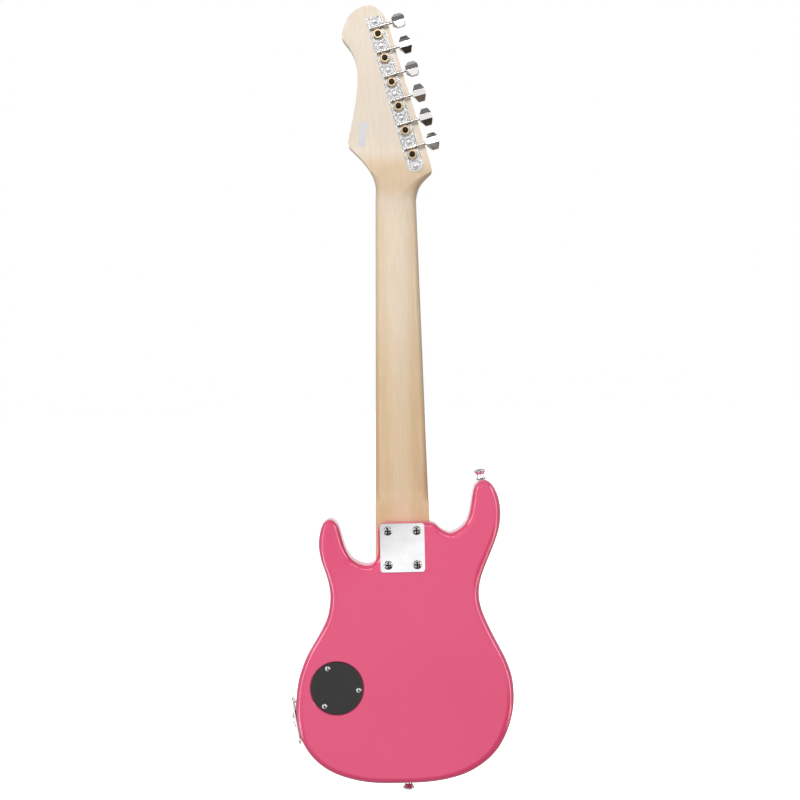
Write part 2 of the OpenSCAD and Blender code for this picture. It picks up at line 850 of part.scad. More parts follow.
// Every point where a string bends, from its ball end to its post
function string_path(i) =
    let (r = STRING_R[i],
         post = post_at(i),
         side = post_waist_r + 1.1 * r + 0.3 + r + 0.06,
         start = [bridge_x(i), anchor_y, flange_z - flange_t - 0.03],
         ridge = [bridge_x(i), ridge_y - r - 0.04, contact_z(i)],
         at_nut = [nut_x(i), string_nut_y, nut_l / 2],
         finish = [post[0] + side, coil_y, post[1]])
    concat([start, ridge, at_nut],
           [for (tree = TREES)
                if (i == tree[2] || i == tree[2] + 1)
                    let (t = (tree[1] - at_nut[2]) / (finish[2] - at_nut[2]))
                    [at_nut[0] + (finish[0] - at_nut[0]) * t, tree_bar_y + r + 0.04, tree[1]]],
           [finish]);

// Direction in which a string leaves point k of its path
function string_dir(path, k) =
    let (d = path[min(k + 1, len(path) - 1)] - path[max(k - 1, 0)])
    d / norm(d);

// A round string through the points of a path; every span runs up the neck
module string_tube(path, r) {
    points = [for (k = [0:len(path) - 1])
        let (d = string_dir(path, k))
        for (j = [0:string_sides - 1])
            let (a = 360 * j / string_sides)
            path[k] + r * [cos(a), sin(a), -(d[0] * cos(a) + d[1] * sin(a)) / d[2]]];
    polyhedron(points, ring_faces(string_sides, len(path)));
}

module strings() {
    color(steel)
        for (i = [0:string_count - 1]) {
            string_tube(string_path(i), STRING_R[i]);
            rod_x(bridge_x(i) - 1.5, bridge_x(i) + 1.5, anchor_y, flange_z - flange_t - 1.65, 1.6);
        }
}

// ---- Bridge ----

module bridge_plate() {
    low_z = flange_z - flange_t;
    color(chrome)
        difference() {
            union() {
                block([-bridge_half_w, -bridge_t, low_z], [bridge_half_w, 0, bridge_top_z]);
                block([-bridge_half_w, -10.2, low_z], [bridge_half_w, -bridge_t, flange_z]);
            }
            for (i = [0:string_count - 1]) {
                translate([bridge_x(i), anchor_y, low_z - 1])
                    cylinder(r = STRING_R[i] + 0.25, h = 4);
                translate([bridge_x(i), intonation_y, low_z - 1])
                    cylinder(r = intonation_r + 0.1, h = 4);
            }
            for (x = [-35, -12, 12, 35])
                rod_y(x, bridge_top_z - 4, -bridge_t - 1, 1, 1.8);
        }
}

module bridge_screws() {
    color(chrome)
        for (x = [-35, -12, 12, 35])
            screw_front(x, -bridge_t, bridge_top_z - 4, 3, 1.3, 1.6, 16);
}

module saddles() {
    color(chrome)
        for (i = [0:string_count - 1])
            difference() {
                union() {
                    block([bridge_x(i) - saddle_w / 2, saddle_back_y, contact_z(i) - saddle_l + 2],
                          [bridge_x(i) + saddle_w / 2, saddle_low_y, contact_z(i) + 2]);
                    rod_x(bridge_x(i) - saddle_w / 2, bridge_x(i) + saddle_w / 2,
                          ridge_y + 2, contact_z(i), 2);
                }
                for (x = [-height_screw_x, height_screw_x])
                    rod_y(bridge_x(i) + x, contact_z(i) - 6, saddle_back_y - 1, saddle_low_y + 1,
                          height_screw_r + clearance);
                translate([bridge_x(i), intonation_y, contact_z(i) - saddle_l])
                    cylinder(r = intonation_r + clearance, h = 9);
            }
}

module saddle_height_screws() {
    color(steel)
        for (i = [0:string_count - 1])
            for (x = [-height_screw_x, height_screw_x])
                difference() {
                    rod_y(bridge_x(i) + x, contact_z(i) - 6, -8.2, -bridge_t, height_screw_r);
                    rod_y(bridge_x(i) + x, contact_z(i) - 6, -9, -6.6, 0.7, $fn = 6);
                }
}

module intonation_screws() {
    color(steel)
        for (i = [0:string_count - 1])
            translate([bridge_x(i), intonation_y, flange_z - flange_t])
                mirror([0, 0, 1])
                    cross_screw(1.9, 1.4, intonation_r, contact_z(i) - 4.6 - flange_z + flange_t);
}

module intonation_springs() {
    color(steel)
        for (i = [0:string_count - 1]) {
            from = flange_z + 0.05;
            to = contact_z(i) - saddle_l + 2 - 0.05;
            translate([bridge_x(i), intonation_y, from])
                difference() {
                    cylinder(r = 1.8, h = to - from);
                    translate([0, 0, -1])
                        cylinder(r = intonation_r + 0.1, h = to - from + 2);
                }
        }
}

// ---- Pickup ----

module pickup_ring() {
    color(black)
        difference() {
            slab(-4, 0)
                translate([0, pickup_z])
                    round_rect(88, 44, 3);
            block([-35.3, -5, pickup_z - 18.9], [35.3, 1, pickup_z + 18.9]);
            for (x = [-1, 1])
                for (z = [-1, 1])
                    rod_y(x * 39.6, pickup_z + z * 17.6, -5, 1, 1.2);
        }
}

module pickup_ring_screws() {
    color(chrome)
        for (x = [-1, 1])
            for (z = [-1, 1])
                screw_front(x * 39.6, -4, pickup_z + z * 17.6, 2.1, 1, 1, 12);
}

function pole_x(i) = (i - (string_count - 1) / 2) * pole_step;

module pickup_bobbins() {
    color(black)
        for (row = [-1, 1])
            difference() {
                slab(bobbin_top_y, 6)
                    translate([0, pickup_z + row * bobbin_gap / 2])
                        round_rect(bobbin_l, bobbin_w, 4);
                for (i = [0:string_count - 1])
                    rod_y(pole_x(i), pickup_z + row * bobbin_gap / 2, bobbin_top_y - 1, 7, 2.4);
            }
}

module pickup_poles() {
    color(chrome)
        for (row = [-1, 1])
            for (i = [0:string_count - 1])
                rod_y(pole_x(i), pickup_z + row * bobbin_gap / 2, bobbin_top_y - 0.5, 6, 2.35);
}

module pickup_baseplate() {
    color(steel)
        difference() {
            slab(6.05, 7.2)
                translate([0, pickup_z])
                    round_rect(68, 36, 2);
            rod_y(-28, pickup_z, 5, 8, 1.6);
        }
}

// ---- Controls ----

module pots() {
    color(steel)
        for (at = [volume_at, tone_at])
            difference() {
                union() {
                    rod_y(at[0], at[1], cavity_wall, cavity_wall + pot_l, pot_r);
                    rod_y(at[0], at[1], -2.6, cavity_wall, 3.5);
                }
                rod_y(at[0], at[1], -3, cavity_wall + pot_l - 1.5, shaft_r + running_fit);
            }
}

module pot_nuts() {
    color(chrome)
        for (at = [volume_at, tone_at])
            slab(-2.2, 0)
                translate(at)
                    difference() {
                        circle(r = 5.7, $fn = 6);
                        circle(r = 3.5 + clearance);
                    }
}

module control_shaft(at) {
    color(steel)
        rod_y(at[0], at[1], -11, cavity_wall + pot_l - 2, shaft_r);
}

module control_knob(at) {
    base_y = -1;
    top_y = -15;
    color(chrome)
        difference() {
            translate([at[0], base_y, at[1]])
                rotate([90, 0, 0])
                    rotate_extrude()
                        polygon([[0, 0], [knob_r, 0], [knob_r, 3], [knob_r - 0.8, 3.6],
                                 [knob_r - 1, base_y - top_y - 1.4],
                                 [knob_r - 2.2, base_y - top_y], [0, base_y - top_y]]);
            rod_y(at[0], at[1], -4.5, 0, 6.6);
            rod_y(at[0], at[1], -11.2, 0, shaft_r + 0.01);
        }
}

module control_cover() {
    color(black)
        difference() {
            rod_y(cavity[0], cavity[1], body_t - cover_t, body_t, cover_r);
            for (a = COVER_ANGLES)
                rod_y(cavity[0] - cover_screw_d * cos(a), cavity[1] + cover_screw_d * sin(a),
                      body_t - cover_t - 1, body_t + 1, 1.4);
        }
}

module control_cover_screws() {
    color(chrome)
        for (a = COVER_ANGLES)
            screw_back(cavity[0] - cover_screw_d * cos(a), body_t,
                       cavity[1] + cover_screw_d * sin(a), 2.9, 1.3, 1.2, 13);
}

module wiring() {
    wire_y = cavity_wall + pot_l + 2;
    color(black) {
        bar([29, 14, pickup_z - 8.4], [cavity[0] - 17, 14, cavity[1] + 3.6], 1.2);
        bar([cavity[0] + 9, body_t / 2, cavity[1] - 9.6], [81.2, body_t / 2, -506], 1.2);
        rod_y(cavity[0] + 6, cavity[1] + 2, wire_y, wire_y + 4, 3.2);
    }
}

// ---- Fittings on the body ----

module neck_plate() {
    color(chrome)
        difference() {
            slab(body_t, body_t + neck_plate_t)
                translate(neck_plate_at)
                    round_rect(neck_plate_w, neck_plate_l, 3);
            for (x = [-1, 1])
                for (z = [-1, 1])
                    rod_y(neck_plate_at[0] + x * bolt_dx / 2, neck_plate_at[1] + z * bolt_dz / 2,
                          body_t - 1, body_t + 5, bolt_r + 0.2);
        }
}

module neck_bolts() {
    color(chrome)
        for (x = [-1, 1])
            for (z = [-1, 1])
                screw_back(neck_plate_at[0] + x * bolt_dx / 2, body_t + neck_plate_t,
                           neck_plate_at[1] + z * bolt_dz / 2, 4.5, 1.9, bolt_r, 32);
}

module jack_plate() {
    color(chrome)
        at_jack()
            difference() {
                linear_extrude(jack_plate_t)
                    round_rect(jack_plate_l, jack_plate_w, 6);
                translate([0, 0, -1])
                    cylinder(r = jack_thread_r + clearance, h = 4);
                for (x = [-jack_screw_x, jack_screw_x])
                    translate([x, 0, -1])
                        cylinder(r = 1.5, h = 4);
            }
}

module jack_plate_screws() {
    color(chrome)
        at_jack()
            for (x = [-jack_screw_x, jack_screw_x])
                translate([x, 0, jack_plate_t])
                    cross_screw(2.5, 1.1, 1.3, 13);
}

module jack_socket() {
    color(chrome)
        at_jack()
            difference() {
                union() {
                    translate([0, 0, -9])
                        cylinder(r = jack_thread_r, h = 9 + jack_plate_t + 3.2);
                    translate([0, 0, -24])
                        cylinder(r = 7.6, h = 15);
                }
                translate([0, 0, -22])
                    cylinder(r = jack_bore_r, h = 40);
            }
}

module jack_nut() {
    color(chrome)
        at_jack()
            translate([0, 0, jack_plate_t])
                difference() {
                    cylinder(r = 7.2, h = 2.4, $fn = 6);
                    translate([0, 0, -1])
                        cylinder(r = jack_thread_r + clearance, h = 5);
                }
}

// A strap button that stands on z = 0
module strap_button() {
    difference() {
        rotate_extrude()
            polygon([[0, 0], [4.4, 0], [4.4, 0.5], [strap_waist_r, 1.2], [strap_waist_r, 3],
                     [4.2, 4.4], [strap_head_r - 0.4, 6.6], [strap_head_r, 7.2],
                     [strap_head_r - 0.5, 7.9], [4.6, strap_l - 0.5], [3.4, strap_l],
                     [0, strap_l]]);
        translate([0, 0, -1])
            cylinder(r = 1.8 + clearance, h = strap_l + 2);
        translate([0, 0, strap_l - 1.4])
            cylinder(r = 3.1, h = 3);
    }
}

module strap_buttons() {
    color(chrome) {
        at_tail_button()
            strap_button();
        at_horn_button()
            translate([0, 0, washer_t])
                strap_button();
    }
}

module strap_button_screws() {
    color(steel) {
        at_tail_button()
            translate([0, 0, strap_l - 1.4])
                cross_screw(3, 1.7, 1.8, 28);
        at_horn_button()
            translate([0, 0, washer_t + strap_l - 1.4])
                cross_screw(3, 1.7, 1.8, 28);
    }
}

module strap_button_washer() {
    color(black)
        at_horn_button()
            difference() {
                cylinder(r = 4.7, h = washer_t);
                translate([0, 0, -1])
                    cylinder(r = 1.9, h = washer_t + 2);
            }
}

module headstock_label() {
    color(ivory)
        translate([31, 0, 61.5])
            rotate([0, -8, 0])
                slab(head_back_y, head_back_y + 0.15)
                    round_rect(7, 24, 0.8);
}

body();
neck();
fretboard();
frets();
fret_dots();
nut();
truss_rod();
string_trees();
tuner_plate();
tuner_plate_screws();
post_bushings();
neck_plate();
neck_bolts();
control_cover();
control_cover_screws();
jack_plate();
jack_plate_screws();
jack_socket();
jack_nut();
strap_buttons();
strap_button_screws();
strap_button_washer();
bridge_plate();
bridge_screws();
saddles();
saddle_height_screws();
intonation_screws();
intonation_springs();
pickup_ring();
pickup_ring_screws();
pickup_bobbins();
pickup_poles();
pickup_baseplate();
pots();
pot_nuts();
wiring();
strings();
control_knob(volume_at);  // volume_knob
control_shaft(volume_at);  // volume_shaft
control_knob(tone_at);  // tone_knob
control_shaft(tone_at);  // tone_shaft
headstock_label();
tuner_key(0);  // tuner_key_1
tuner_key(1);  // tuner_key_2
tuner_key(2);  // tuner_key_3
tuner_key(3);  // tuner_key_4
tuner_key(4);  // tuner_key_5
tuner_key(5);  // tuner_key_6
tuner_gear(0);  // tuner_gear_1
tuner_gear(1);  // tuner_gear_2
tuner_gear(2);  // tuner_gear_3
tuner_gear(3);  // tuner_gear_4
tuner_gear(4);  // tuner_gear_5
tuner_gear(5);  // tuner_gear_6
tuner_post(0);  // tuner_post_1
tuner_post(1);  // tuner_post_2
tuner_post(2);  // tuner_post_3
tuner_post(3);  // tuner_post_4
tuner_post(4);  // tuner_post_5
tuner_post(5);  // tuner_post_6
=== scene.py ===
"""Looks of a small electric guitar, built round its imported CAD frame."""

import json
import math

import bmesh
import bpy
from mathutils import Matrix, Vector


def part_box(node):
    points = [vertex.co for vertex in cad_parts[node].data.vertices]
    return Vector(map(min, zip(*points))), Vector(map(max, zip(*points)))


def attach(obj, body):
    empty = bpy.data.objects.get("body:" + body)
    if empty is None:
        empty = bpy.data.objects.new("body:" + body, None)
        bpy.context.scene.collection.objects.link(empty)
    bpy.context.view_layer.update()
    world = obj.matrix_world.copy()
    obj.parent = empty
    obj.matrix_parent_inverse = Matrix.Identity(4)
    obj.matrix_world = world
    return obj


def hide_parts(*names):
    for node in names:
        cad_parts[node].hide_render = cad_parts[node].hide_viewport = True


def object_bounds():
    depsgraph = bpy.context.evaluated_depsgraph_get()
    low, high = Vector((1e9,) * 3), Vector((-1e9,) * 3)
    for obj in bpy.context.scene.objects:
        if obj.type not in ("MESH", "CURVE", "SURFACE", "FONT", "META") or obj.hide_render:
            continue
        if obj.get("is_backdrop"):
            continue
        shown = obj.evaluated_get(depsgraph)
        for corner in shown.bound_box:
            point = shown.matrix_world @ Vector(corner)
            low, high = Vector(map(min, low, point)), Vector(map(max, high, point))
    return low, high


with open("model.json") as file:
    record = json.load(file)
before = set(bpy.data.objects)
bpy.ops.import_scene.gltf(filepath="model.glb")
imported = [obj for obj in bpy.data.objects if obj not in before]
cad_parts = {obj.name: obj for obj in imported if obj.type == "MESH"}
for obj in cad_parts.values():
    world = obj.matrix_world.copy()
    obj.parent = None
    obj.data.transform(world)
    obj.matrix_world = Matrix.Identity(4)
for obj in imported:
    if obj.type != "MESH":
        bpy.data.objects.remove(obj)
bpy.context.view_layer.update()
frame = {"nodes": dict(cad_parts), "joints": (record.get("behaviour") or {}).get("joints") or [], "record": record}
nodes = frame["nodes"]
joints = {j["name"]: j for j in frame["joints"]}
slot_of = {p["node"]: p["material_slot"] for p in frame["record"]["subparts"]}
STRINGS = range(1, 7)
MM = 0.001


# ---- Measuring the frame ----

def islands(node):
    """The (lowest, highest) corners of each separate solid of a CAD node, by their X."""
    mesh = nodes[node].data
    owner = {}

    def root(key):
        while owner[key] != key:
            owner[key] = owner[owner[key]]
            key = owner[key]
        return key

    spots = [tuple(round(c, 6) for c in v.co) for v in mesh.vertices]
    for spot in spots:
        owner[spot] = spot
    for edge in mesh.edges:
        owner[root(spots[edge.vertices[0]])] = root(spots[edge.vertices[1]])
    groups = {}
    for spot in owner:
        groups.setdefault(root(spot), []).append(spot)
    found = []
    for group in groups.values():
        low = Vector([min(s[k] for s in group) for k in range(3)])
        high = Vector([max(s[k] for s in group) for k in range(3)])
        found.append((low, high))
    return sorted(found, key=lambda pair: (pair[0].x + pair[1].x, pair[0].z))


def outline_at(node, level):
    """The outer loop of a CAD node's edges at one level of Y, as (x, z) pairs in order."""
    mesh = nodes[node].data
    links = {}
    for edge in mesh.edges:
        a, b = (tuple(round(c, 6) for c in mesh.vertices[i].co) for i in edge.vertices)
        if abs(a[1] - level) < 1e-5 and abs(b[1] - level) < 1e-5 and a != b:
            links.setdefault(a, set()).add(b)
            links.setdefault(b, set()).add(a)
    loop = [max(links)]
    loop.append(sorted(links[loop[0]])[0])
    while True:
        onward = [k for k in links[loop[-1]] if k != loop[-2]]
        if not onward or onward[0] == loop[0]:
            break
        loop.append(onward[0])
    return [(k[0], k[2]) for k in loop]


def middle(low, high):
    """The middle of a box in X and Z."""
    return Vector(((low.x + high.x) / 2, (low.z + high.z) / 2))


def half_width(node, z, span=2 * MM):
    """Half the width in X of a CAD node close to a height z."""
    return max(abs(v.co.x) for v in nodes[node].data.vertices if abs(v.co.z - z) < span)


# ---- Making meshes ----

def new_piece(name, verts, faces):
    """An object from vertices and faces, with its normals outward."""
    mesh = bpy.data.meshes.new(name)
    mesh.from_pydata([tuple(v) for v in verts], [], faces)
    mesh.validate()
    bm = bmesh.new()
    bm.from_mesh(mesh)
    bmesh.ops.recalc_face_normals(bm, faces=bm.faces)
    bm.to_mesh(mesh)
    bm.free()
    piece = bpy.data.objects.new(name, mesh)
    bpy.context.scene.collection.objects.link(piece)
    return piece


def rings_mesh(rings):
    """Vertices and faces of a closed skin over rings that have the same number of points."""
    n = len(rings[0])
    verts = [p for ring in rings for p in ring]
    faces = []
    for j in range(len(rings) - 1):
        for i in range(n):
            m = (i + 1) % n
            faces.append((j * n + i, j * n + m, (j + 1) * n + m, (j + 1) * n + i))
    faces.append(tuple(range(n)))
    faces.append(tuple(range((len(rings) - 1) * n, len(rings) * n)))
    return verts, faces


def lathe(profile, steps, place, flute=None):
    """A turned skin from (radius, height) pairs, with place to map (x, y, height) to the row."""
    rings = []
    for r, h in profile:
        ring = []
        for k in range(steps):
            a = 2 * math.pi * k / steps
            reach = r - (flute(a, h) if flute else 0)
            ring.append(place(reach * math.cos(a), reach * math.sin(a), h))
        rings.append(ring)
    return rings_mesh(rings)


def tube(path, radius, sides, flat=1.0):
    """A round wire along a path, squeezed along Y to flat times its thickness."""
    flat_axis = Vector((0, 1, 0))
    rings = []
    side = None
    for k, p in enumerate(path):
        along = (path[min(k + 1, len(path) - 1)] - path[max(k - 1, 0)]).normalized()
        if side is None:
            guess = flat_axis if abs(along.dot(flat_axis)) < 0.9 else Vector((1, 0, 0))
            side = along.cross(guess).normalized()
        side = (side - along * side.dot(along)).normalized()
        other = along.cross(side)
        ring = []
        for j in range(sides):
            a = 2 * math.pi * j / sides
            off = radius * (side * math.cos(a) + other * math.sin(a))
            off -= flat_axis * off.dot(flat_axis) * (1 - flat)
            ring.append(p + off)
        rings.append(ring)
    return rings_mesh(rings)


def join(parts):
    """One list of vertices and faces from several."""
    verts, faces = [], []
    for part_verts, part_faces in parts:
        base = len(verts)
        verts += part_verts
        faces += [tuple(base + i for i in f) for f in part_faces]
    return verts, faces


def prism(points, y0, y1):
    """A straight-sided solid from an outline in X and Z, between two levels of Y."""
    rings = [[Vector((x, y, z)) for x, z in points] for y in (y0, y1)]
    return rings_mesh(rings)


def circle(x, z, r, steps=48):
    """Points round a circle in X and Z."""
    return [(x + r * math.cos(2 * math.pi * k / steps), z + r * math.sin(2 * math.pi * k / steps))
            for k in range(steps)]


def rod(start, end, r, steps):
    """A straight round bar."""
    return tube([Vector(start), Vector(end)], r, steps)


def apply_modifiers(piece):
    """Replaces a piece's mesh by what its modifiers make of it."""
    graph = bpy.context.evaluated_depsgraph_get()
    made = bpy.data.meshes.new_from_object(piece.evaluated_get(graph), depsgraph=graph)
    piece.modifiers.clear()
    piece.data = made


# ---- Smoothing and edge rounding ----

def smoothing_group():
    """Geometry nodes that shade smooth, apart from the edges sharper than an angle."""
    group = bpy.data.node_groups.new("smooth_by_angle", "GeometryNodeTree")
    group.interface.new_socket("Geometry", in_out="INPUT", socket_type="NodeSocketGeometry")
    angle = group.interface.new_socket("Angle", in_out="INPUT", socket_type="NodeSocketFloat")
    group.interface.new_socket("Geometry", in_out="OUTPUT", socket_type="NodeSocketGeometry")
    start = group.nodes.new("NodeGroupInput")
    end = group.nodes.new("NodeGroupOutput")
    faces = group.nodes.new("GeometryNodeSetShadeSmooth")
    faces.domain = "FACE"
    faces.inputs["Shade Smooth"].default_value = True
    edges = group.nodes.new("GeometryNodeSetShadeSmooth")
    edges.domain = "EDGE"
    edges.inputs["Shade Smooth"].default_value = False
    bend = group.nodes.new("GeometryNodeInputMeshEdgeAngle")
    sharper = group.nodes.new("FunctionNodeCompare")
    sharper.data_type = "FLOAT"
    sharper.operation = "GREATER_THAN"
    link = group.links.new
    link(start.outputs["Geometry"], faces.inputs["Geometry"])
    link(faces.outputs["Geometry"], edges.inputs["Geometry"])
    link(bend.outputs["Unsigned Angle"], sharper.inputs[0])
    link(start.outputs["Angle"], sharper.inputs[1])
    link(sharper.outputs[0], edges.inputs["Selection"])
    link(edges.outputs["Geometry"], end.inputs["Geometry"])
    return group, angle.identifier


SMOOTHING, ANGLE_ID = smoothing_group()


def soften(piece, angle, bevel=0.0, weld=True):
    """Modifiers that merge a mesh's split corners, round its sharp edges and shade it smooth."""
    if weld:
        piece.modifiers.new("weld", "WELD").merge_threshold = 2e-6
    if bevel:
        flat = piece.modifiers.new("flat_faces", "DECIMATE")
        flat.decimate_type = "DISSOLVE"
        flat.angle_limit = math.radians(0.6)
        edge = piece.modifiers.new("rounded_edges", "BEVEL")
        edge.width = bevel
        edge.segments = 2
        edge.limit_method = "ANGLE"
        edge.angle_limit = math.radians(angle)
        edge.use_clamp_overlap = True
    shade = piece.modifiers.new("smooth", "NODES")
    shade.node_group = SMOOTHING
    shade[ANGLE_ID] = math.radians(angle)
    if bevel:
        normals = piece.modifiers.new("even_normals", "WEIGHTED_NORMAL")
        normals.keep_sharp = True


# ---- Materials ----

class Paint:
    """A material in the making, with short calls that add and link its nodes."""

    def __init__(self, name, **uniform):
        self.material = bpy.data.materials.new(name)
        self.material.use_nodes = True
        self.tree = self.material.node_tree
        self.shader = self.tree.nodes["Principled BSDF"]
        self.place = self.node("TexCoord").outputs["Object"]
        for key, value in uniform.items():
            self.shader.inputs[key.replace("_", " ")].default_value = value

    def node(self, kind, inputs=None, **settings):
        node = self.tree.nodes.new("ShaderNode" + kind)
        for key, value in settings.items():
            setattr(node, key, value)
        for key, value in (inputs or {}).items():
            self.put(node.inputs[key], value)
        return node

    def put(self, socket, value):
        if isinstance(value, bpy.types.NodeSocket):
            self.tree.links.new(value, socket)
        else:
            socket.default_value = value

    def noise(self, scale, detail=3.0, roughness=0.5, distortion=0.0, turn=(0, 0, 0)):
        """A noise whose scale is one number or three, in waves a metre."""
        size = (scale,) * 3 if isinstance(scale, (int, float)) else scale
        spot = self.node("Mapping", {"Vector": self.place, "Scale": size, "Rotation": turn})
        return self.node("TexNoise", {"Vector": spot.outputs[0], "Scale": 1.0, "Detail": detail,
                                      "Roughness": roughness,
                                      "Distortion": distortion}).outputs["Fac"]

    def remap(self, value, low, high, to_low, to_high, smooth=False):
        return self.node("MapRange", {"Value": value, "From Min": low, "From Max": high,
                                      "To Min": to_low, "To Max": to_high},
                         interpolation_type="SMOOTHSTEP" if smooth else "LINEAR").outputs[0]

    def maths(self, operation, a, b=0.0):
        return self.node("Math", {0: a, 1: b}, operation=operation).outputs[0]

    def mix(self, amount, a, b, blend_type="MIX"):
        made = self.node("Mix", data_type="RGBA", blend_type=blend_type)
        self.put(made.inputs[0], amount)
        for socket, colour in ((made.inputs[6], a), (made.inputs[7], b)):
            self.put(socket, (*colour, 1) if isinstance(colour, tuple) else colour)
        return made.outputs[2]

    def bump(self, height, distance, strength=1.0, under=None):
        made = self.node("Bump", {"Height": height, "Distance": distance, "Strength": strength})
        if under:
            self.put(made.inputs["Normal"], under)
        return made.outputs[0]

    def finish(self, colour, roughness, normal=None, coat_normal=None):
        for key, value in (("Base Color", colour), ("Roughness", roughness),
                           ("Normal", normal), ("Coat Normal", coat_normal)):
            if value is not None:
                self.put(self.shader.inputs[key], value)
        return self.material


def gloss_paint():
    """Pink lacquer: a faintly cloudy colour under a clear coat with orange peel and swirls."""
    p = Paint("body_paint", Coat_Weight=1.0, Coat_Roughness=0.05, Coat_IOR=1.5,
              Specular_IOR_Level=0.3, Sheen_Weight=0.15, Sheen_Roughness=0.35)
    cloud = p.remap(p.noise(5, 2), 0.35, 0.65, 0.0, 1.0)
    colour = p.mix(cloud, (0.745, 0.059, 0.171), (0.775, 0.067, 0.185))
    colour = p.mix(p.remap(p.noise(2600, 2), 0.55, 0.8, 0.0, 0.06), colour, (0.86, 0.16, 0.30))
    rough = p.remap(p.noise(14, 3), 0.3, 0.7, 0.32, 0.38)
    peel = p.bump(p.noise(150, 2, 0.4), 0.000004, 0.3)
    swirl = p.bump(p.noise(900, 3, 0.5, 1.2), 0.0000006, 0.2, peel)
    return p.finish(colour, rough, peel, swirl)


def wood(name, pale, deep, pore, rings, fibre, pores, figure, warm=(), flanks=None, **uniform):
    """Sawn wood whose grain runs along Z, with growth rings, fibres, pores and a silky figure.

    Each warm band multiplies in a tint: it comes in between its first two heights and goes out
    between its last two. The flanks get painted shade, away from the middle and below a height,
    darker towards the sides as a rounded neck turns away from the light.
    """
    p = Paint(name, **uniform)
    bend = p.noise((16, 16, 2.2), 3, 0.55)
    lean = p.node("Mapping", {"Vector": p.place, "Rotation": (0.05, 0.03, 0.2),
                              "Location": (0.012, 0.09, 0)}).outputs[0]
    split = p.node("SeparateXYZ", {0: lean})
    away = p.maths("SQRT", p.maths("ADD", p.maths("MULTIPLY", split.outputs[0], split.outputs[0]),
                                   p.maths("MULTIPLY", split.outputs[1], split.outputs[1])))
    away = p.maths("ADD", away, p.maths("MULTIPLY", bend, 0.010))
    ring = p.maths("SINE", p.maths("MULTIPLY", away, 2 * math.pi * rings))
    ring = p.maths("POWER", p.remap(ring, -1, 1, 0, 1), 2.2)
    strand = p.noise((620, 620, 34), 5, 0.62)
    silk = p.noise((90, 90, 260), 2, 0.5, 0.4)
    colour = p.mix(p.maths("MULTIPLY", ring, figure), pale, deep)
    colour = p.mix(p.remap(strand, 0.36, 0.68, 0.0, fibre), colour, deep)
    colour = p.mix(p.remap(p.noise((38, 38, 15), 4, 0.6), 0.4, 0.7, 0.0, 0.26), colour, deep)
    colour = p.mix(p.remap(silk, 0.45, 0.75, 0.0, 0.16), colour, pale)
    place = p.node("SeparateXYZ", {0: p.place})
    height = p.maths("ADD", place.outputs[2], p.maths("MULTIPLY", bend, 0.03))
    # Each band multiplies in a tint; on the neck one of them is painted shade in the scoop behind the nut
    for low, start, end, high, tint in warm:
        band = p.maths("MULTIPLY", p.remap(height, low, start, 0.0, 1.0, True),
                       p.remap(height, end, high, 1.0, 0.0, True))
        colour = p.mix(band, colour, tint, "MULTIPLY")
    if flanks:
        # Painted shade: the neck darkens towards its flanks, below a height
        inner, outer, low, high, tint = flanks
        off = p.maths("ADD", p.maths("ABSOLUTE", place.outputs[0]),
                      p.maths("MULTIPLY", bend, 0.008))
        worn_and_flank_shade = p.maths("MULTIPLY", p.remap(off, inner, outer, 0.0, 1.0, True),
                       p.remap(height, low, high, 1.0, 0.0, True))
        colour = p.mix(worn_and_flank_shade, colour, tint, "MULTIPLY")
    fleck = p.remap(p.noise((1500, 1500, 46), 2, 0.6), 0.60, 0.70, 0.0, 1.0)
    colour = p.mix(p.maths("MULTIPLY", fleck, pores), colour, pore)
    uneven = p.maths("ADD", p.maths("MULTIPLY", strand, 0.6), p.maths("MULTIPLY", silk, 0.4))
    rough = p.remap(uneven, 0.35, 0.65, 0.38, 0.56)
    grain = p.bump(p.maths("ADD", strand, p.maths("MULTIPLY", fleck, -0.7)), 0.00004, 0.3)
    return p.finish(colour, rough, grain)


def metal(name, colour, dull, polish, worn_and_flank_shade, scratch=0.3):
    """A metal with brushed-out scratches, smudges and slightly worn patches."""
    p = Paint(name, Metallic=1.0)
    smudge = p.noise(55, 4, 0.6)
    fine = p.noise((2600, 2600, 300), 3, 0.6, turn=(0.4, 0.7, 0.2))
    tint = p.mix(p.remap(smudge, 0.35, 0.75, 0.0, 0.5), colour, dull)
    rough = p.maths("ADD", p.remap(smudge, 0.4, 0.72, polish, worn_and_flank_shade),
                    p.remap(fine, 0.55, 0.8, 0.0, 0.06))
    return p.finish(tint, rough, p.bump(fine, 0.000006, scratch))


def pressed_chrome():
    """Chrome over a fine pressed texture, with painted shade that greys it along the texture."""
    p = Paint("pressed_chrome", Metallic=1.0)
    dent = p.noise(480, 4, 0.62, 0.6)
    # Painted shade: the colour darkens along the pressed texture
    tint = p.mix(p.remap(dent, 0.44, 0.66, 0.0, 1.0), (0.80, 0.79, 0.79), (0.46, 0.44, 0.43))
    rough = p.remap(p.noise(90, 4), 0.3, 0.7, 0.06, 0.16)
    return p.finish(tint, rough, p.bump(dent, 0.00003, 0.5))


def moulded(name, colour, lift, low, high, grain_scale, grain_depth):
    """A moulded plastic with a fine skin texture, faint scuffs and uneven gloss."""
    p = Paint(name)
    scuff = p.noise(260, 4, 0.6, 0.3)
    tint = p.mix(p.remap(scuff, 0.5, 0.8, 0.0, 0.35), colour, lift)
    rough = p.remap(p.noise(70, 4), 0.3, 0.7, low, high)
    skin = p.bump(p.noise(grain_scale, 3, 0.55), grain_depth, 0.5)
    return p.finish(tint, rough, skin)


def felt():
    """Black felt with a rough tufted surface."""
    p = Paint("black_felt", Sheen_Weight=0.6, Sheen_Roughness=0.5)
    tuft = p.noise(2400, 5, 0.7, 0.6)
    colour = p.mix(p.remap(tuft, 0.4, 0.7, 0.0, 1.0), (0.012, 0.012, 0.013), (0.05, 0.05, 0.052))
    return p.finish(colour, p.remap(tuft, 0.3, 0.7, 0.8, 1.0), p.bump(tuft, 0.0003, 0.9))


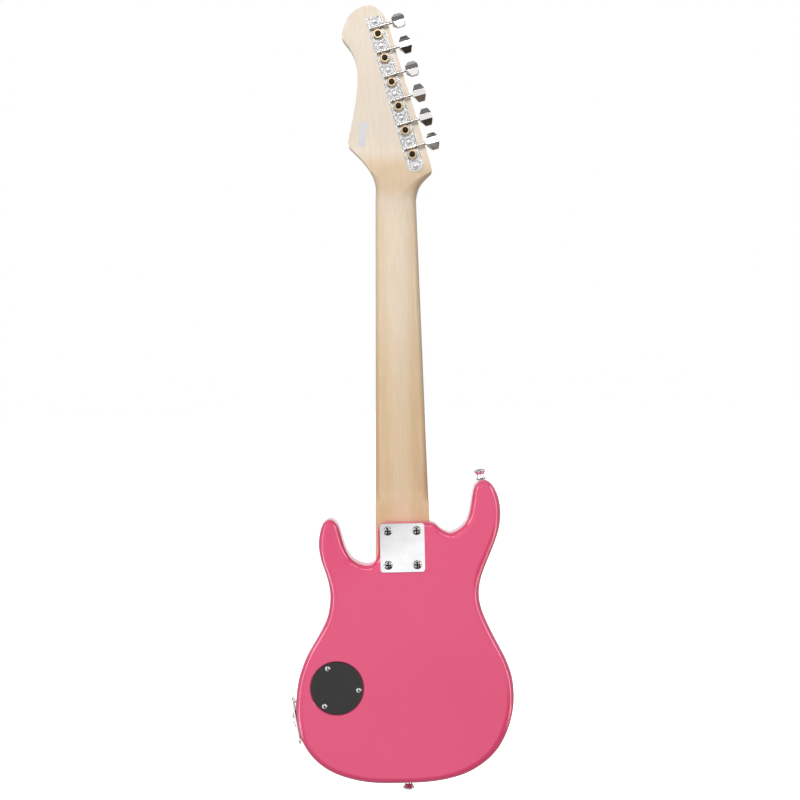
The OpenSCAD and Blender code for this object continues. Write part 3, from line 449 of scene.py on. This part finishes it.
def wound_string():
    """A wound string: a fine wrap whose turns run across the string, with painted shade between the turns."""
    p = Paint("wound_string", Metallic=1.0)
    wrap = p.node("TexWave", {"Vector": p.place, "Scale": 760.0, "Distortion": 0.0},
                  wave_type="BANDS", bands_direction="Z").outputs["Fac"]
    # Painted shade: dark bands in the grooves between the turns of wrap
    colour = p.mix(wrap, (0.22, 0.20, 0.17), (0.66, 0.63, 0.57))
    rough = p.remap(p.noise(300, 3), 0.3, 0.7, 0.24, 0.38)
    return p.finish(colour, rough, p.bump(wrap, 0.00006, 0.8))


def pearl():
    """Imitation pearl with soft swirls."""
    p = Paint("inlay", Coat_Weight=0.4, Coat_Roughness=0.1)
    swirl = p.noise((240, 240, 240), 4, 0.6, 2.5)
    colour = p.mix(p.remap(swirl, 0.3, 0.7, 0.0, 1.0), (0.72, 0.73, 0.72), (0.90, 0.88, 0.82))
    return p.finish(colour, p.remap(swirl, 0.3, 0.7, 0.22, 0.34), p.bump(swirl, 0.00001, 0.3))


def paper():
    """Plain label paper with a fine fibre."""
    p = Paint("label_paper")
    fibre = p.noise((1800, 1800, 700), 4, 0.65)
    colour = p.mix(p.remap(fibre, 0.35, 0.7, 0.0, 1.0), (0.62, 0.62, 0.65), (0.73, 0.73, 0.76))
    return p.finish(colour, p.remap(fibre, 0.3, 0.7, 0.5, 0.7), p.bump(fibre, 0.00002, 0.4))


MAPLE_PALE, MAPLE_DEEP, MAPLE_PORE = (0.83, 0.735, 0.61), (0.70, 0.57, 0.42), (0.42, 0.28, 0.17)
BLACK, BLACK_SCUFF = (0.013, 0.012, 0.013), (0.028, 0.027, 0.029)
CHROME, CHROME_DULL = (0.92, 0.92, 0.93), (0.84, 0.84, 0.86)

# Lower neck, whole neck, painted shade in the scoop behind the nut, and headstock
NECK_BANDS = ((-0.62, -0.60, -0.20, -0.07, (0.89, 0.81, 0.70)),
              (-0.62, -0.60, 0.00, 0.03, (0.99, 0.96, 0.92)),
              (0.004, 0.024, 0.040, 0.060, (0.90, 0.80, 0.68)),
              (0.05, 0.08, 0.60, 0.61, (0.93, 0.93, 0.94)))
# Painted shade on the flanks: where it starts and is full, from the middle, then the heights where it fades out
NECK_FLANKS = (0.009, 0.021, -0.01, 0.02, (0.94, 0.88, 0.79))

materials = {
    "body_paint": gloss_paint(),
    "maple": wood("maple", MAPLE_PALE, MAPLE_DEEP, MAPLE_PORE, 420, 0.4, 0.12, 0.09,
                  NECK_BANDS, NECK_FLANKS, Coat_Weight=0.12, Coat_Roughness=0.3),
    "rosewood": wood("rosewood", (0.070, 0.030, 0.018), (0.022, 0.009, 0.006),
                     (0.006, 0.003, 0.002), 320, 0.6, 0.9, 0.75),
    "fret_metal": metal("fret_metal", (0.70, 0.69, 0.67), (0.50, 0.49, 0.47), 0.12, 0.26),
    "inlay": pearl(),
    "nut_plastic": moulded("nut_plastic", (0.80, 0.77, 0.68), (0.66, 0.62, 0.50), 0.28, 0.42,
                           900, 0.00002),
    "steel": metal("steel", (0.56, 0.56, 0.57), (0.36, 0.36, 0.37), 0.22, 0.42),
    "chrome": metal("chrome", CHROME, CHROME_DULL, 0.04, 0.12),
    "gear_brass": metal("gear_brass", (0.74, 0.57, 0.36), (0.44, 0.31, 0.17), 0.20, 0.38),
    "black_plastic": moulded("black_plastic", BLACK, BLACK_SCUFF, 0.30, 0.44, 1600, 0.00003),
    "black_felt": felt(),
    "wire_cover": moulded("wire_cover", (0.02, 0.02, 0.02), (0.06, 0.06, 0.06), 0.4, 0.6,
                          1200, 0.00002),
    "string_steel": metal("string_steel", (0.66, 0.65, 0.63), (0.46, 0.45, 0.43), 0.18, 0.30),
    "label_paper": paper(),
}
wound_metal = wound_string()
# Dark gear screw heads, and painted shade in the drive recesses of other screws
dark_screw_and_recess_shade = metal("dark_screw_and_recess_shade", (0.035, 0.026, 0.022), (0.015, 0.010, 0.008), 0.22, 0.40)
# Painted shade: a dark metal for shadow rings round screw heads and along the plate's beads
shade_metal = metal("shade_metal", (0.36, 0.36, 0.37), (0.20, 0.20, 0.21), 0.16, 0.34)
# Painted shade: a darker chrome that gives the neck bolts' heads a grey look
shaded_bolt = metal("shaded_bolt", (0.62, 0.61, 0.60), (0.40, 0.39, 0.38), 0.14, 0.30)
stamped = pressed_chrome()
key_chrome = metal("key_chrome", (0.80, 0.78, 0.77), (0.62, 0.60, 0.58), 0.07, 0.16, 0.05)


def dress(piece, slot, body="root"):
    """Gives a new piece the material of its slot and the body it moves with."""
    piece.data.materials.clear()
    piece.data.materials.append(materials[slot])
    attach(piece, body)
    return piece


# ---- The painted body ----

CAD_EDGE = 5 * MM           # how far the CAD body's own rounding reaches
EDGE_R = 7.5 * MM
EDGE_STEPS = 12
CURVE_STEPS = 4             # points made from each one of the outline
TIGHTEST = 0.8              # share of a curve's radius that the edge may take up
CALM_REACH = 10             # points on each side over which the edge's width is evened out
PAST = 1 * MM               # how far a cut goes beyond the skin
SEAT_GAP = 0.15 * MM
POCKET_TOP, POCKET_DEEP = -0.300, 16 * MM
COVER_GAP = 0.3 * MM
CAVITY_FLOOR, CAVITY_R, SCREW_WOOD_R = 6 * MM, 22.2 * MM, 4.4 * MM
CHAMFER, CHAMFER_DEEP = 1.7 * MM, 0.8 * MM
PICKUP_SIDE, PICKUP_HALF, PICKUP_DEEP = 35.5 * MM, 19.8 * MM, 20 * MM
SHAFT_HOLE_R, SHAFT_HOLE_DEEP = 3.6 * MM, 7 * MM
BOLT_HOLE_R, BOLT_HOLE_DEEP = 2.5 * MM, 15 * MM
JACK_HOLE_R, JACK_DEEP, JACK_PAST = 9 * MM, 30 * MM, 15 * MM


def smooth_loop(points, steps):
    """More points on a closed loop, on a smooth curve through the given ones."""
    n = len(points)
    made = []
    for i in range(n):
        a, b, c, d = (Vector(points[(i + k) % n]) for k in (-1, 0, 1, 2))
        for k in range(steps):
            t = k / steps
            made.append((2 * b + (c - a) * t + (2 * a - 5 * b + 4 * c - d) * t * t
                         + (3 * b - a - 3 * c + d) * t ** 3) / 2)
    return made


def inward(points):
    """The unit vectors that point into a closed loop."""
    n = len(points)
    area = sum(points[i].x * points[(i + 1) % n].y - points[(i + 1) % n].x * points[i].y
               for i in range(n))
    sign = 1 if area > 0 else -1
    made = []
    for i in range(n):
        along = (points[(i + 1) % n] - points[i - 1]).normalized()
        made.append(Vector((-along.y, along.x)) * sign)
    return made


def edge_widths(points, normals, width):
    """How far the rounded edge may reach in at each point, less where the outline turns tightly."""
    n = len(points)
    widths = []
    for i in range(n):
        chord = points[(i + 1) % n] - points[i - 1]
        step = chord.length
        turn = (normals[(i + 1) % n] - normals[i - 1]).dot(chord / step)
        tight = -turn / step
        widths.append(min(width, TIGHTEST / tight) if tight > 0 else width)
    near = range(-CALM_REACH, CALM_REACH + 1)
    low = [min(widths[(i + k) % n] for k in near) for i in range(n)]
    return [sum(low[(i + k) % n] for k in near) / len(near) for i in range(n)]


def body_skin():
    """The body's outer skin: the CAD outline with a rounded edge at the front and the back."""
    low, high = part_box("body")
    points = smooth_loop(outline_at("body", high.y - CAD_EDGE), CURVE_STEPS)
    normals = inward(points)
    plate_low, plate_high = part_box("neck_plate")
    widths = [min(w, CAD_EDGE) if plate_low.x < p.x < plate_high.x and p.y > plate_low.z else w
              for p, w in zip(points, edge_widths(points, normals, EDGE_R))]
    levels = []
    for k in range(EDGE_STEPS + 1):
        a = math.pi / 2 * k / EDGE_STEPS
        levels.append((1 - math.sin(a), low.y + EDGE_R * (1 - math.cos(a))))
    levels += [(share, low.y + high.y - y) for share, y in reversed(levels)]
    rings = []
    for share, y in levels:
        rings.append([Vector((p.x + n.x * w * share, y, p.y + n.y * w * share))
                      for p, n, w in zip(points, normals, widths)])
    return new_piece("body_shell", *rings_mesh(rings))


def cavity_outline():
    """The control cavity: a circle with wood left for the three cover screws."""
    low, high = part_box("control_cover")
    centre = middle(low, high)
    screws = [middle(a, b) for a, b in islands("control_cover_screws")]
    points = []
    for k in range(120):
        a = 2 * math.pi * k / 120
        way = Vector((math.cos(a), math.sin(a)))
        reach = CAVITY_R
        for screw in screws:
            off = screw - centre
            along = off.dot(way)
            miss = SCREW_WOOD_R ** 2 - (off.length_squared - along * along)
            if along > 0 and miss > 0:
                reach = min(reach, along - math.sqrt(miss))
        points.append(tuple(centre + way * reach))
    return centre, points


def jack_axis():
    """The mouth of the output jack and the direction out of it."""
    mount = next(m for m in frame["record"]["mounts"] if m["name"] == "output_jack")
    return Vector(mount["pos_m"]), Vector(mount["axis"]).normalized()


def body_cuts():
    """The shapes to cut from the body: pocket, cavities, the cover's recess, and holes."""
    low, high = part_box("body")
    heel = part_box("neck")[0].z - SEAT_GAP
    near = half_width("neck", POCKET_TOP, 4 * MM) + SEAT_GAP
    far = half_width("neck", heel + SEAT_GAP) + SEAT_GAP
    cuts = [prism([(-near, POCKET_TOP), (-far, heel), (far, heel), (near, POCKET_TOP)],
                  low.y - PAST, POCKET_DEEP)]
    cover_low, cover_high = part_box("control_cover")
    centre, cavity = cavity_outline()
    rim = (cover_high.x - cover_low.x) / 2 + COVER_GAP
    cuts.append(prism(cavity, CAVITY_FLOOR, high.y + PAST))
    cuts.append(prism(circle(centre.x, centre.y, rim, 96), cover_low.y - 0.1 * MM, high.y + PAST))
    cuts.append(lathe([(0, 0), (rim, 0), (rim + CHAMFER, CHAMFER), (0, CHAMFER)], 96,
                      lambda a, b, h: Vector((centre.x + a, high.y - CHAMFER_DEEP + h,
                                              centre.y - b))))
    row = middle(*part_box("pickup_ring")).y
    cuts.append(prism([(-PICKUP_SIDE, row - PICKUP_HALF), (PICKUP_SIDE, row - PICKUP_HALF),
                       (PICKUP_SIDE, row + PICKUP_HALF), (-PICKUP_SIDE, row + PICKUP_HALF)],
                      low.y - PAST, PICKUP_DEEP))
    for node in ("volume_shaft", "tone_shaft"):
        cuts.append(prism(circle(*middle(*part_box(node)), SHAFT_HOLE_R), low.y - PAST,
                          SHAFT_HOLE_DEEP))
    for a, b in islands("neck_bolts"):
        cuts.append(prism(circle(*middle(a, b), BOLT_HOLE_R), BOLT_HOLE_DEEP, high.y + PAST))
    mouth, out = jack_axis()
    cuts.append(rod(mouth - out * JACK_DEEP, mouth + out * JACK_PAST, JACK_HOLE_R, 48))
    return cuts


def painted_body():
    """The body as one smooth skin, with its pocket, cavities and holes cut into it."""
    body = body_skin()
    cutter = new_piece("cutter", *join(body_cuts()))
    cut = body.modifiers.new("cuts", "BOOLEAN")
    cut.object = cutter
    cut.solver = "EXACT"
    cut.use_self = True
    bpy.context.view_layer.update()
    apply_modifiers(body)
    bpy.data.objects.remove(cutter)
    soften(body, 30, weld=False)
    body.modifiers.new("even_normals", "WEIGHTED_NORMAL").keep_sharp = True
    dress(body, "body_paint")
    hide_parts("body")


# ---- CAD nodes that stay, with rounded edges and better finishes ----

# Radii in millimetres
ROUNDING = {
    "tuner_plate": 0.22, "neck_plate": 0.45, "control_cover": 0.35, "jack_plate": 0.35,
    "jack_nut": 0.3, "bridge_plate": 0.35, "saddles": 0.3, "pickup_ring": 0.5,
    "pickup_bobbins": 0.5, "pot_nuts": 0.25, "string_trees": 0.2, "nut": 0.12,
    "fretboard": 0.12, "pickup_baseplate": 0.2, "tuner_plate_screws": 0.08, "neck_bolts": 0.15,
    "control_cover_screws": 0.1, "jack_plate_screws": 0.1, "bridge_screws": 0.1,
    "pickup_ring_screws": 0.1, "strap_button_screws": 0.12, "pots": 0.4,
    "strap_buttons": 0.12,
}
for index in STRINGS:
    ROUNDING[f"tuner_key_{index}"] = 0.22
    ROUNDING[f"tuner_gear_{index}"] = 0.08
    ROUNDING[f"tuner_post_{index}"] = 0.18


GEAR_SCREW_R = 3.1 * MM
GEAR_SCREW_CROWN = 1.05 * MM
GEAR_SCREW_HEAD = 1.2 * MM
HEAD_DEPTH = 2.2 * MM
CROWN_DEPTH = 0.25 * MM
RIM_SLOPE = 0.86
FACETED_ANGLE, ROUND_ANGLE = 20, 32

# The side of the body that each screw's head is on, and how much of the head its recess takes
CROSS_SCREWS = {"tuner_plate_screws": (1, 0.6), "neck_bolts": (1, 0.74),
                "control_cover_screws": (1, 0.66), "bridge_screws": (-1, 0.6),
                "pickup_ring_screws": (-1, 0.6)}


def darken_slots(name):
    """Painted shade in each screw head's drive recess, and a painted shadow ring round its rim."""
    mesh = nodes[name].data
    mesh.materials.append(dark_screw_and_recess_shade)
    mesh.materials.append(shade_metal)
    side, share = CROSS_SCREWS[name]
    heads = []
    for low, high in islands(name):
        top = high.y if side > 0 else -low.y
        heads.append(((low.x + high.x) / 2, (low.z + high.z) / 2, (high.x - low.x) / 2, top))
    for face in mesh.polygons:
        spots = [mesh.vertices[i].co for i in face.vertices]
        x, z, r, top = min(heads, key=lambda h: math.hypot(spots[0].x - h[0], spots[0].z - h[1]))
        reach = max(math.hypot(s.x - x, s.z - z) for s in spots)
        deep = min(side * s.y for s in spots)
        # Painted shade in the drive recess
        if reach < share * r and top - HEAD_DEPTH < deep < top - CROWN_DEPTH:
            face.material_index = 1
        # Painted shadow: a dark ring on the steep rim of the head
        elif abs(face.normal.y) < RIM_SLOPE and deep > top - HEAD_DEPTH:
            face.material_index = 2


def darken_gear_screw(index):
    """A dark finish on the head of the screw that holds a tuner's gear."""
    mesh = nodes[f"tuner_gear_{index}"].data
    mesh.materials.append(dark_screw_and_recess_shade)
    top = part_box(f"tuner_gear_{index}")[1].y
    centre = Vector(joints[f"post_spin_{index}"]["pos_m"])
    for face in mesh.polygons:
        corners = [mesh.vertices[i].co for i in face.vertices]
        reach = max(math.hypot(c.x - centre.x, c.z - centre.z) for c in corners)
        highest, lowest = max(c.y for c in corners), min(c.y for c in corners)
        if (reach < GEAR_SCREW_R and highest > top - GEAR_SCREW_CROWN
                and lowest > top - GEAR_SCREW_HEAD):
            face.material_index = 1


def wind_bass_strings():
    """The wound finish on the strings of the bass side."""
    mesh = nodes["strings"].data
    mesh.materials.append(wound_metal)
    for face in mesh.polygons:
        spot = mesh.vertices[face.vertices[0]].co
        face.material_index = int(spot.x < 0 and spot.y < -1 * MM)


def finish_nodes(replaced):
    """Material, smoothing and edge rounding for every CAD node that stays visible."""
    for name, node in nodes.items():
        if name in replaced:
            continue
        node.data.materials.clear()
        node.data.materials.append(materials[slot_of[name]])
        for face in node.data.polygons:
            face.material_index = 0
        angle = FACETED_ANGLE if name.startswith("tuner_key") else ROUND_ANGLE
        soften(node, angle, ROUNDING.get(name, 0) * MM)
    # The tuner plate's chrome carries painted shade in its pressed texture
    nodes["tuner_plate"].data.materials[0] = stamped
    # Painted shade: darker chrome on the neck bolts
    nodes["neck_bolts"].data.materials[0] = shaded_bolt
    for name in CROSS_SCREWS:
        darken_slots(name)
    for index in STRINGS:
        nodes[f"tuner_key_{index}"].data.materials[0] = key_chrome
        darken_gear_screw(index)
    wind_bass_strings()


# ---- Small metal pieces ----

def helix(start, end, radius, turns, steps=14):
    """Points of a coil between two points on its axis, with some steps to a turn."""
    axis = (end - start).normalized()
    side = axis.orthogonal().normalized()
    other = axis.cross(side)
    count = int(turns * steps)
    points = []
    for k in range(count + 1):
        t = k / count
        a = 2 * math.pi * turns * t
        points.append(start.lerp(end, t) + radius * (side * math.cos(a) + other * math.sin(a)))
    return points


SPRING_WIRE, SPRING_PITCH = 0.28 * MM, 0.95 * MM
STRING_MM = (0.53, 0.4, 0.3, 0.2, 0.14, 0.115)     # radii from the bass string to the treble
THINNEST = 0.16
WOUND_STRINGS = 3


def bridge_springs():
    """The coil springs round the intonation screws."""
    parts = []
    for low, high in islands("intonation_springs"):
        centre = (low + high) / 2
        wire = SPRING_WIRE
        radius = (high.x - low.x) / 2 - wire
        start = Vector((centre.x, centre.y, low.z + wire))
        end = Vector((centre.x, centre.y, high.z - wire))
        turns = max(4, round((end - start).length / SPRING_PITCH))
        parts.append(tube(helix(start, end, radius, turns), wire, 8))
    springs = new_piece("intonation_spring_coils", *join(parts))
    soften(springs, 60, weld=False)
    dress(springs, "steel")
    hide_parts("intonation_springs")


def string_turns(index):
    """Turns of string round a post, over the sleeve that stands for them."""
    solids = islands(f"tuner_post_{index}")
    low, high = min(solids, key=lambda pair: pair[1].y - pair[0].y)
    centre = (low + high) / 2
    wire = max(STRING_MM[index - 1], THINNEST) * MM
    radius = (high.x - low.x) / 2 + 0.1 * wire
    start = Vector((centre.x, low.y + wire, centre.z))
    end = Vector((centre.x, high.y - wire, centre.z))
    turns = max(1.6, (end - start).length / (2.05 * wire))
    coil = helix(start, end, radius, turns, 24)
    piece = new_piece(f"string_turns_{index}", *tube(coil, wire, 8))
    soften(piece, 60, weld=False)
    dress(piece, "string_steel", f"post_{index}")
    if index <= WOUND_STRINGS:
        piece.data.materials[0] = wound_metal


KNOB_TEETH, TOOTH_DEEP = 48, 0.42 * MM
KNOB_BORE, KNOB_BORE_DEEP = 3.01 * MM, 10 * MM
KNOB_HOLLOW, KNOB_HOLLOW_DEEP = 6.6 * MM, 3.5 * MM
GRIP_START, GRIP_END, GRIP_RAMP = 3.9 * MM, 2.2 * MM, 0.5 * MM
MARK_HALF, MARK_START, MARK_END, MARK_DEEP = 0.45 * MM, 2 * MM, 3.4 * MM, 0.3 * MM


def knob(name):
    """A metal knob with a knurled grip, a turned skirt and a line to read it by."""
    low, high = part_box(name)
    x, z = middle(low, high)
    r = (high.x - low.x) / 2
    tall = high.y - low.y

    def place(a, b, h):
        return Vector((x + a, high.y - h, z + b))

    def knurl(angle, h):
        grip = max(0.0, min(1.0, (h - GRIP_START) / GRIP_RAMP, (tall - GRIP_END - h) / GRIP_RAMP))
        return grip * TOOTH_DEEP * abs(math.sin(KNOB_TEETH * angle / 2))

    profile = [(KNOB_BORE, KNOB_BORE_DEEP), (KNOB_BORE, KNOB_HOLLOW_DEEP),
               (KNOB_HOLLOW, KNOB_HOLLOW_DEEP), (KNOB_HOLLOW, 0.0),
               (r - 0.3 * MM, 0.0), (r, 0.3 * MM), (r, 2.7 * MM), (r - 0.2 * MM, 3.1 * MM),
               (r - 0.9 * MM, 3.6 * MM), (r - 0.9 * MM, 4.0 * MM), (r - 0.9 * MM, 4.5 * MM)]
    profile += [(r - 1.0 * MM, 4.5 * MM + (tall - 7 * MM) * k / 6) for k in range(1, 7)]
    profile += [(r - 1.1 * MM, tall - 2.0 * MM), (r - 1.4 * MM, tall - 1.2 * MM),
                (r - 2.2 * MM, tall - 0.5 * MM), (r - 3.4 * MM, tall - 0.1 * MM),
                (r - 4.6 * MM, tall), (r - 6.5 * MM, tall), (r - 8.8 * MM, tall)]
    piece = new_piece(name + "_knurled", *lathe(profile, KNOB_TEETH * 6, place, knurl))
    soften(piece, 40, weld=False)
    body = name.replace("knob", "control")
    dress(piece, "chrome", body)
    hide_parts(name)
    mark = new_piece(name + "_mark", *prism(
        [(x - MARK_HALF, z + MARK_START), (x + MARK_HALF, z + MARK_START),
         (x + MARK_HALF, z + r - MARK_END), (x - MARK_HALF, z + r - MARK_END)],
        low.y + 0.001 * MM, low.y + MARK_DEEP))
    soften(mark, 30, 0.1 * MM, weld=False)
    dress(mark, "black_plastic", body)


def tuner_frame(index):
    """The place of a tuner: X across the row, Y out of the back, Z along the row to the tip."""
    post = joints[f"post_spin_{index}"]
    across = Vector(joints[f"key_spin_{index}"]["axis"]).normalized()
    out = Vector(post["axis"]).normalized()
    return Vector(post["pos_m"]), across, out, across.cross(out)


PLATE_FACE = 1 * MM         # the tuner plate's face above the back of the headstock


def bead(points, index, level, width, height=0.5):
    """A raised line stamped into the tuner plate, through (across, along) points in mm."""
    centre, across, out, along = tuner_frame(index)
    path = []
    for x, z in points:
        spot = centre + across * x * MM + along * z * MM
        path.append(Vector((spot.x, level, spot.z)))
    return tube(path, width * MM, 8, height)


def arc(x, z, r, start, end, steps=14):
    """Points on an arc between two angles in degrees."""
    return [(x + r * math.cos(math.radians(start + (end - start) * k / steps)),
             z + r * math.sin(math.radians(start + (end - start) * k / steps)))
            for k in range(steps + 1)]


def curl(x, z, r, start, turn, steps=18):
    """A small spiral that winds in to its centre."""
    return [(x + r * (1 - 0.75 * k / steps) * math.cos(math.radians(start + turn * k / steps)),
             z + r * (1 - 0.75 * k / steps) * math.sin(math.radians(start + turn * k / steps)))
            for k in range(steps + 1)]


def plate_stamping():
    """The pressed pattern of beads and curls on the long tuner plate."""
    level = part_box("neck")[1].y + PLATE_FACE
    parts = []
    for index in STRINGS:
        end = 16.6 if index == STRINGS[-1] else 17.4
        for s in (-1, 1):
            lines = [
                [(s * 7.3, -5.6), (s * 7.3, 1.0)],
                [(s * 7.3, 7.6), (s * 7.3, 11.6), (s * 7.0, 13.4), (s * 7.3, 15.2),
                 (s * 7.3, 18.2)],
                [(s * 4.3, -5.8), (s * 3.4, -3.9), (s * 4.4, -2.2)],
                [(s * 5.9, -3.4), (s * 5.9, -0.4)],
                [(s * 6.6, 11.0), (s * 6.6, end)],
                [(s * 5.4, 10.6), (s * 4.9, 13.0), (s * 3.5, 15.6), (s * 3.2, 17.4)],
                curl(s * 4.9, end - 0.2, 1.1, 90, s * 400),
            ]
            for points in lines:
                parts.append(bead(points, index, level, 0.34))
        parts.append(bead(arc(0, 13.5, 3.1, 200, 340), index, level, 0.3))
        parts.append(bead(arc(0, 13.5, 3.1, 20, 160), index, level, 0.3))
        parts.append(bead(arc(0, 0, 5.6, 205, 335, 20), index, level, 0.32))
    foot = [[(-6.2, -9.4), (-3.8, -8.4)], [(6.2, -9.4), (3.8, -8.4)],
            arc(0, -9.6, 5.4, 200, 340), arc(0, -10.8, 3.0, 210, 330),
            [(-5.2, -6.6), (-2.6, -6.9), (0, -6.4), (2.6, -6.9), (5.2, -6.6)]]
    parts += [bead(points, 1, level, 0.32) for points in foot]
    piece = new_piece("tuner_plate_stamping", *join(parts))
    soften(piece, 60, weld=False)
    dress(piece, "chrome")
    # The beads are dark all over: painted shade along the pressed pattern
    piece.data.materials[0] = shade_metal


# ---- Stage, light and camera ----

def pale_floor(level):
    """A wide pale floor below the guitar."""
    mesh = bpy.data.meshes.new("floor")
    bm = bmesh.new()
    bmesh.ops.create_grid(bm, x_segments=12, y_segments=12, size=60.0)
    bm.to_mesh(mesh)
    bm.free()
    floor = bpy.data.objects.new("floor", mesh)
    floor.location = (0, 0, level)
    floor.visible_glossy = False
    floor.visible_diffuse = False
    bpy.context.scene.collection.objects.link(floor)
    p = Paint("floor", Emission_Color=(1, 1, 1, 1), Emission_Strength=0.8)
    shade = p.noise(3, 3)
    mesh.materials.append(p.finish(p.mix(shade, (0.86, 0.86, 0.86), (0.89, 0.89, 0.89)),
                                   p.remap(shade, 0, 1, 0.6, 0.8)))
    floor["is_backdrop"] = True


def soft_light(name, spot, aim, size, power, colour=(1, 1, 1)):
    """A rectangular area light that doesn't show in reflections."""
    light = bpy.data.lights.new(name, "AREA")
    light.shape = "RECTANGLE"
    light.size, light.size_y = size
    light.energy = power
    light.color = colour
    lamp = bpy.data.objects.new(name, light)
    lamp.location = spot
    lamp.rotation_mode = "QUATERNION"
    lamp.rotation_quaternion = (Vector(aim) - Vector(spot)).to_track_quat("-Z", "Y")
    lamp.visible_glossy = False
    bpy.context.scene.collection.objects.link(lamp)
    return lamp


def gleam(name, spot, aim, size, power):
    """A lamp that only shows in reflections, as a bright line along polished edges."""
    lamp = soft_light(name, spot, aim, size, power)
    lamp.visible_glossy = True
    lamp.visible_diffuse = False
    lamp.visible_camera = False


# How bright each zone of the room is in reflections, and the room's light on matt surfaces
WALL_TONE, DIP_TONE, CEILING_TONE, GROUND_TONE = 1.1, 0.30, 0.22, 0.22
SIDE_TONE, BEHIND_TONE, WINDOW_TONE, POST_GLOW = 0.16, 0.5, 0.9, 6.5
EARTH_TONE, EARTH_COLOUR = 0.035, (1, 0.76, 0.60, 1)
DIFFUSE_TONE = 0.33


def studio_world():
    """A white room, whose reflections have a dip, a ceiling, dark sides and two bright posts."""
    world = bpy.data.worlds.new("studio")
    world.use_nodes = True
    tree = world.node_tree
    tree.nodes.clear()
    link = tree.links.new

    def node(kind, inputs=None, **settings):
        made = tree.nodes.new("ShaderNode" + kind)
        for key, value in settings.items():
            setattr(made, key, value)
        for key, value in (inputs or {}).items():
            if isinstance(value, bpy.types.NodeSocket):
                link(value, made.inputs[key])
            else:
                made.inputs[key].default_value = value
        return made

    def step(value, low, high, to_low=0.0, to_high=1.0):
        return node("MapRange", {"Value": value, "From Min": low, "From Max": high,
                                 "To Min": to_low, "To Max": to_high},
                    interpolation_type="SMOOTHSTEP").outputs[0]

    def maths(operation, a, b=0.0):
        return node("Math", {0: a, 1: b}, operation=operation).outputs[0]

    def blend(amount, a, b):
        return maths("ADD", maths("MULTIPLY", a, maths("SUBTRACT", 1.0, amount)),
                     maths("MULTIPLY", b, amount))

    split = node("SeparateXYZ", {0: node("TexCoord").outputs["Generated"]})
    x, y, z = split.outputs
    front = step(y, -0.25, 0.25)
    slant = maths("ADD", maths("MULTIPLY", x, 0.55), maths("MULTIPLY", z, 0.83))
    dip = maths("MULTIPLY", step(slant, -0.105, -0.05), step(slant, -0.02, 0.07, 1.0, 0.0))
    wall = blend(maths("MULTIPLY", dip, 0.75), WALL_TONE, DIP_TONE)
    wall = blend(step(z, 0.62, 0.70), wall, CEILING_TONE)
    earth = maths("MULTIPLY", step(z, -0.17, -0.24), step(x, -0.09, -0.13))
    wall = blend(earth, wall, EARTH_TONE)
    wall = blend(step(z, -0.45, -0.75), wall, GROUND_TONE)
    for edge in (1, -1):
        wall = blend(step(x, edge * 0.62, edge * 0.80), wall, SIDE_TONE)
    behind = blend(step(y, -0.93, -0.965), BEHIND_TONE, WINDOW_TONE)
    wall = blend(front, behind, wall)
    slope = maths("ABSOLUTE", x)
    post = maths("MULTIPLY", step(slope, 0.84, 0.86), step(slope, 0.93, 0.95, 1.0, 0.0))
    seen = maths("ADD", wall, maths("MULTIPLY", maths("MULTIPLY", post, front), POST_GLOW))
    path = node("LightPath")
    strength = blend(path.outputs["Is Glossy Ray"], DIFFUSE_TONE, seen)
    strength = blend(path.outputs["Is Camera Ray"], strength, 1.0)
    tint = node("Mix", data_type="RGBA")
    link(maths("MULTIPLY", earth, path.outputs["Is Glossy Ray"]), tint.inputs[0])
    tint.inputs[6].default_value = (1, 1, 1, 1)
    tint.inputs[7].default_value = EARTH_COLOUR
    sky = node("Background", {"Color": tint.outputs[2], "Strength": strength})
    link(sky.outputs[0], node("OutputWorld").inputs["Surface"])
    bpy.context.scene.world = world


def studio():
    """Floor, lights and room, all placed for the view of the guitar's back."""
    low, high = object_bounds()
    centre = (low + high) / 2
    pale_floor(low.z - 0.12)
    soft_light("key_top", (0.6, 3.4, 2.1), (0, 0, -0.2), (1.8, 1.2), 95, (1, 0.99, 0.98))
    soft_light("front_soft", (0.5, 3.4, -0.9), (0, 0, -0.5), (1.2, 1.2), 34)
    soft_light("fill_left", (1.8, 1.2, -0.5), centre, (0.8, 1.6), 7)
    soft_light("fill_right", (-1.8, 1.2, -0.8), centre, (0.8, 1.6), 8)
    soft_light("front_fill", (0.3, -1.4, 0.5), centre, (1.6, 1.2), 20)
    gleam("edge_gleam", (0, 0.5, 0.4), (0, 0, -0.4), (1.3, 0.05), 3)
    studio_world()
    bpy.context.scene.view_settings.view_transform = "Standard"
    bpy.context.scene.view_settings.look = "None"


HALF_VIEW = math.radians(17.18)
LEAN = math.radians(1.23)
EYE_DISTANCE, EYE_HEIGHT = 1.25, -0.1995


def camera():
    """A camera behind the guitar, square to its back, with the guitar leaning a little."""
    lens = bpy.data.cameras.new("camera")
    lens.sensor_width = 36.0
    lens.lens = lens.sensor_width / 2 / math.tan(HALF_VIEW)
    eye = bpy.data.objects.new("camera", lens)
    c, s = math.cos(LEAN), math.sin(LEAN)
    right, up, back = Vector((-c, 0, -s)), Vector((-s, 0, c)), Vector((0, 1, 0))
    turn = Matrix((right, up, back)).transposed().to_4x4()
    spot = Vector((0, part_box("body")[1].y + EYE_DISTANCE, EYE_HEIGHT))
    eye.matrix_world = Matrix.Translation(spot) @ turn
    bpy.context.scene.collection.objects.link(eye)
    bpy.context.scene.camera = eye


REPLACED = {"body", "intonation_springs", "volume_knob", "tone_knob"}

camera()
painted_body()
finish_nodes(REPLACED)
bridge_springs()
for index in STRINGS:
    string_turns(index)
knob("volume_knob")
knob("tone_knob")
plate_stamping()
studio()

bpy.context.view_layer.update()
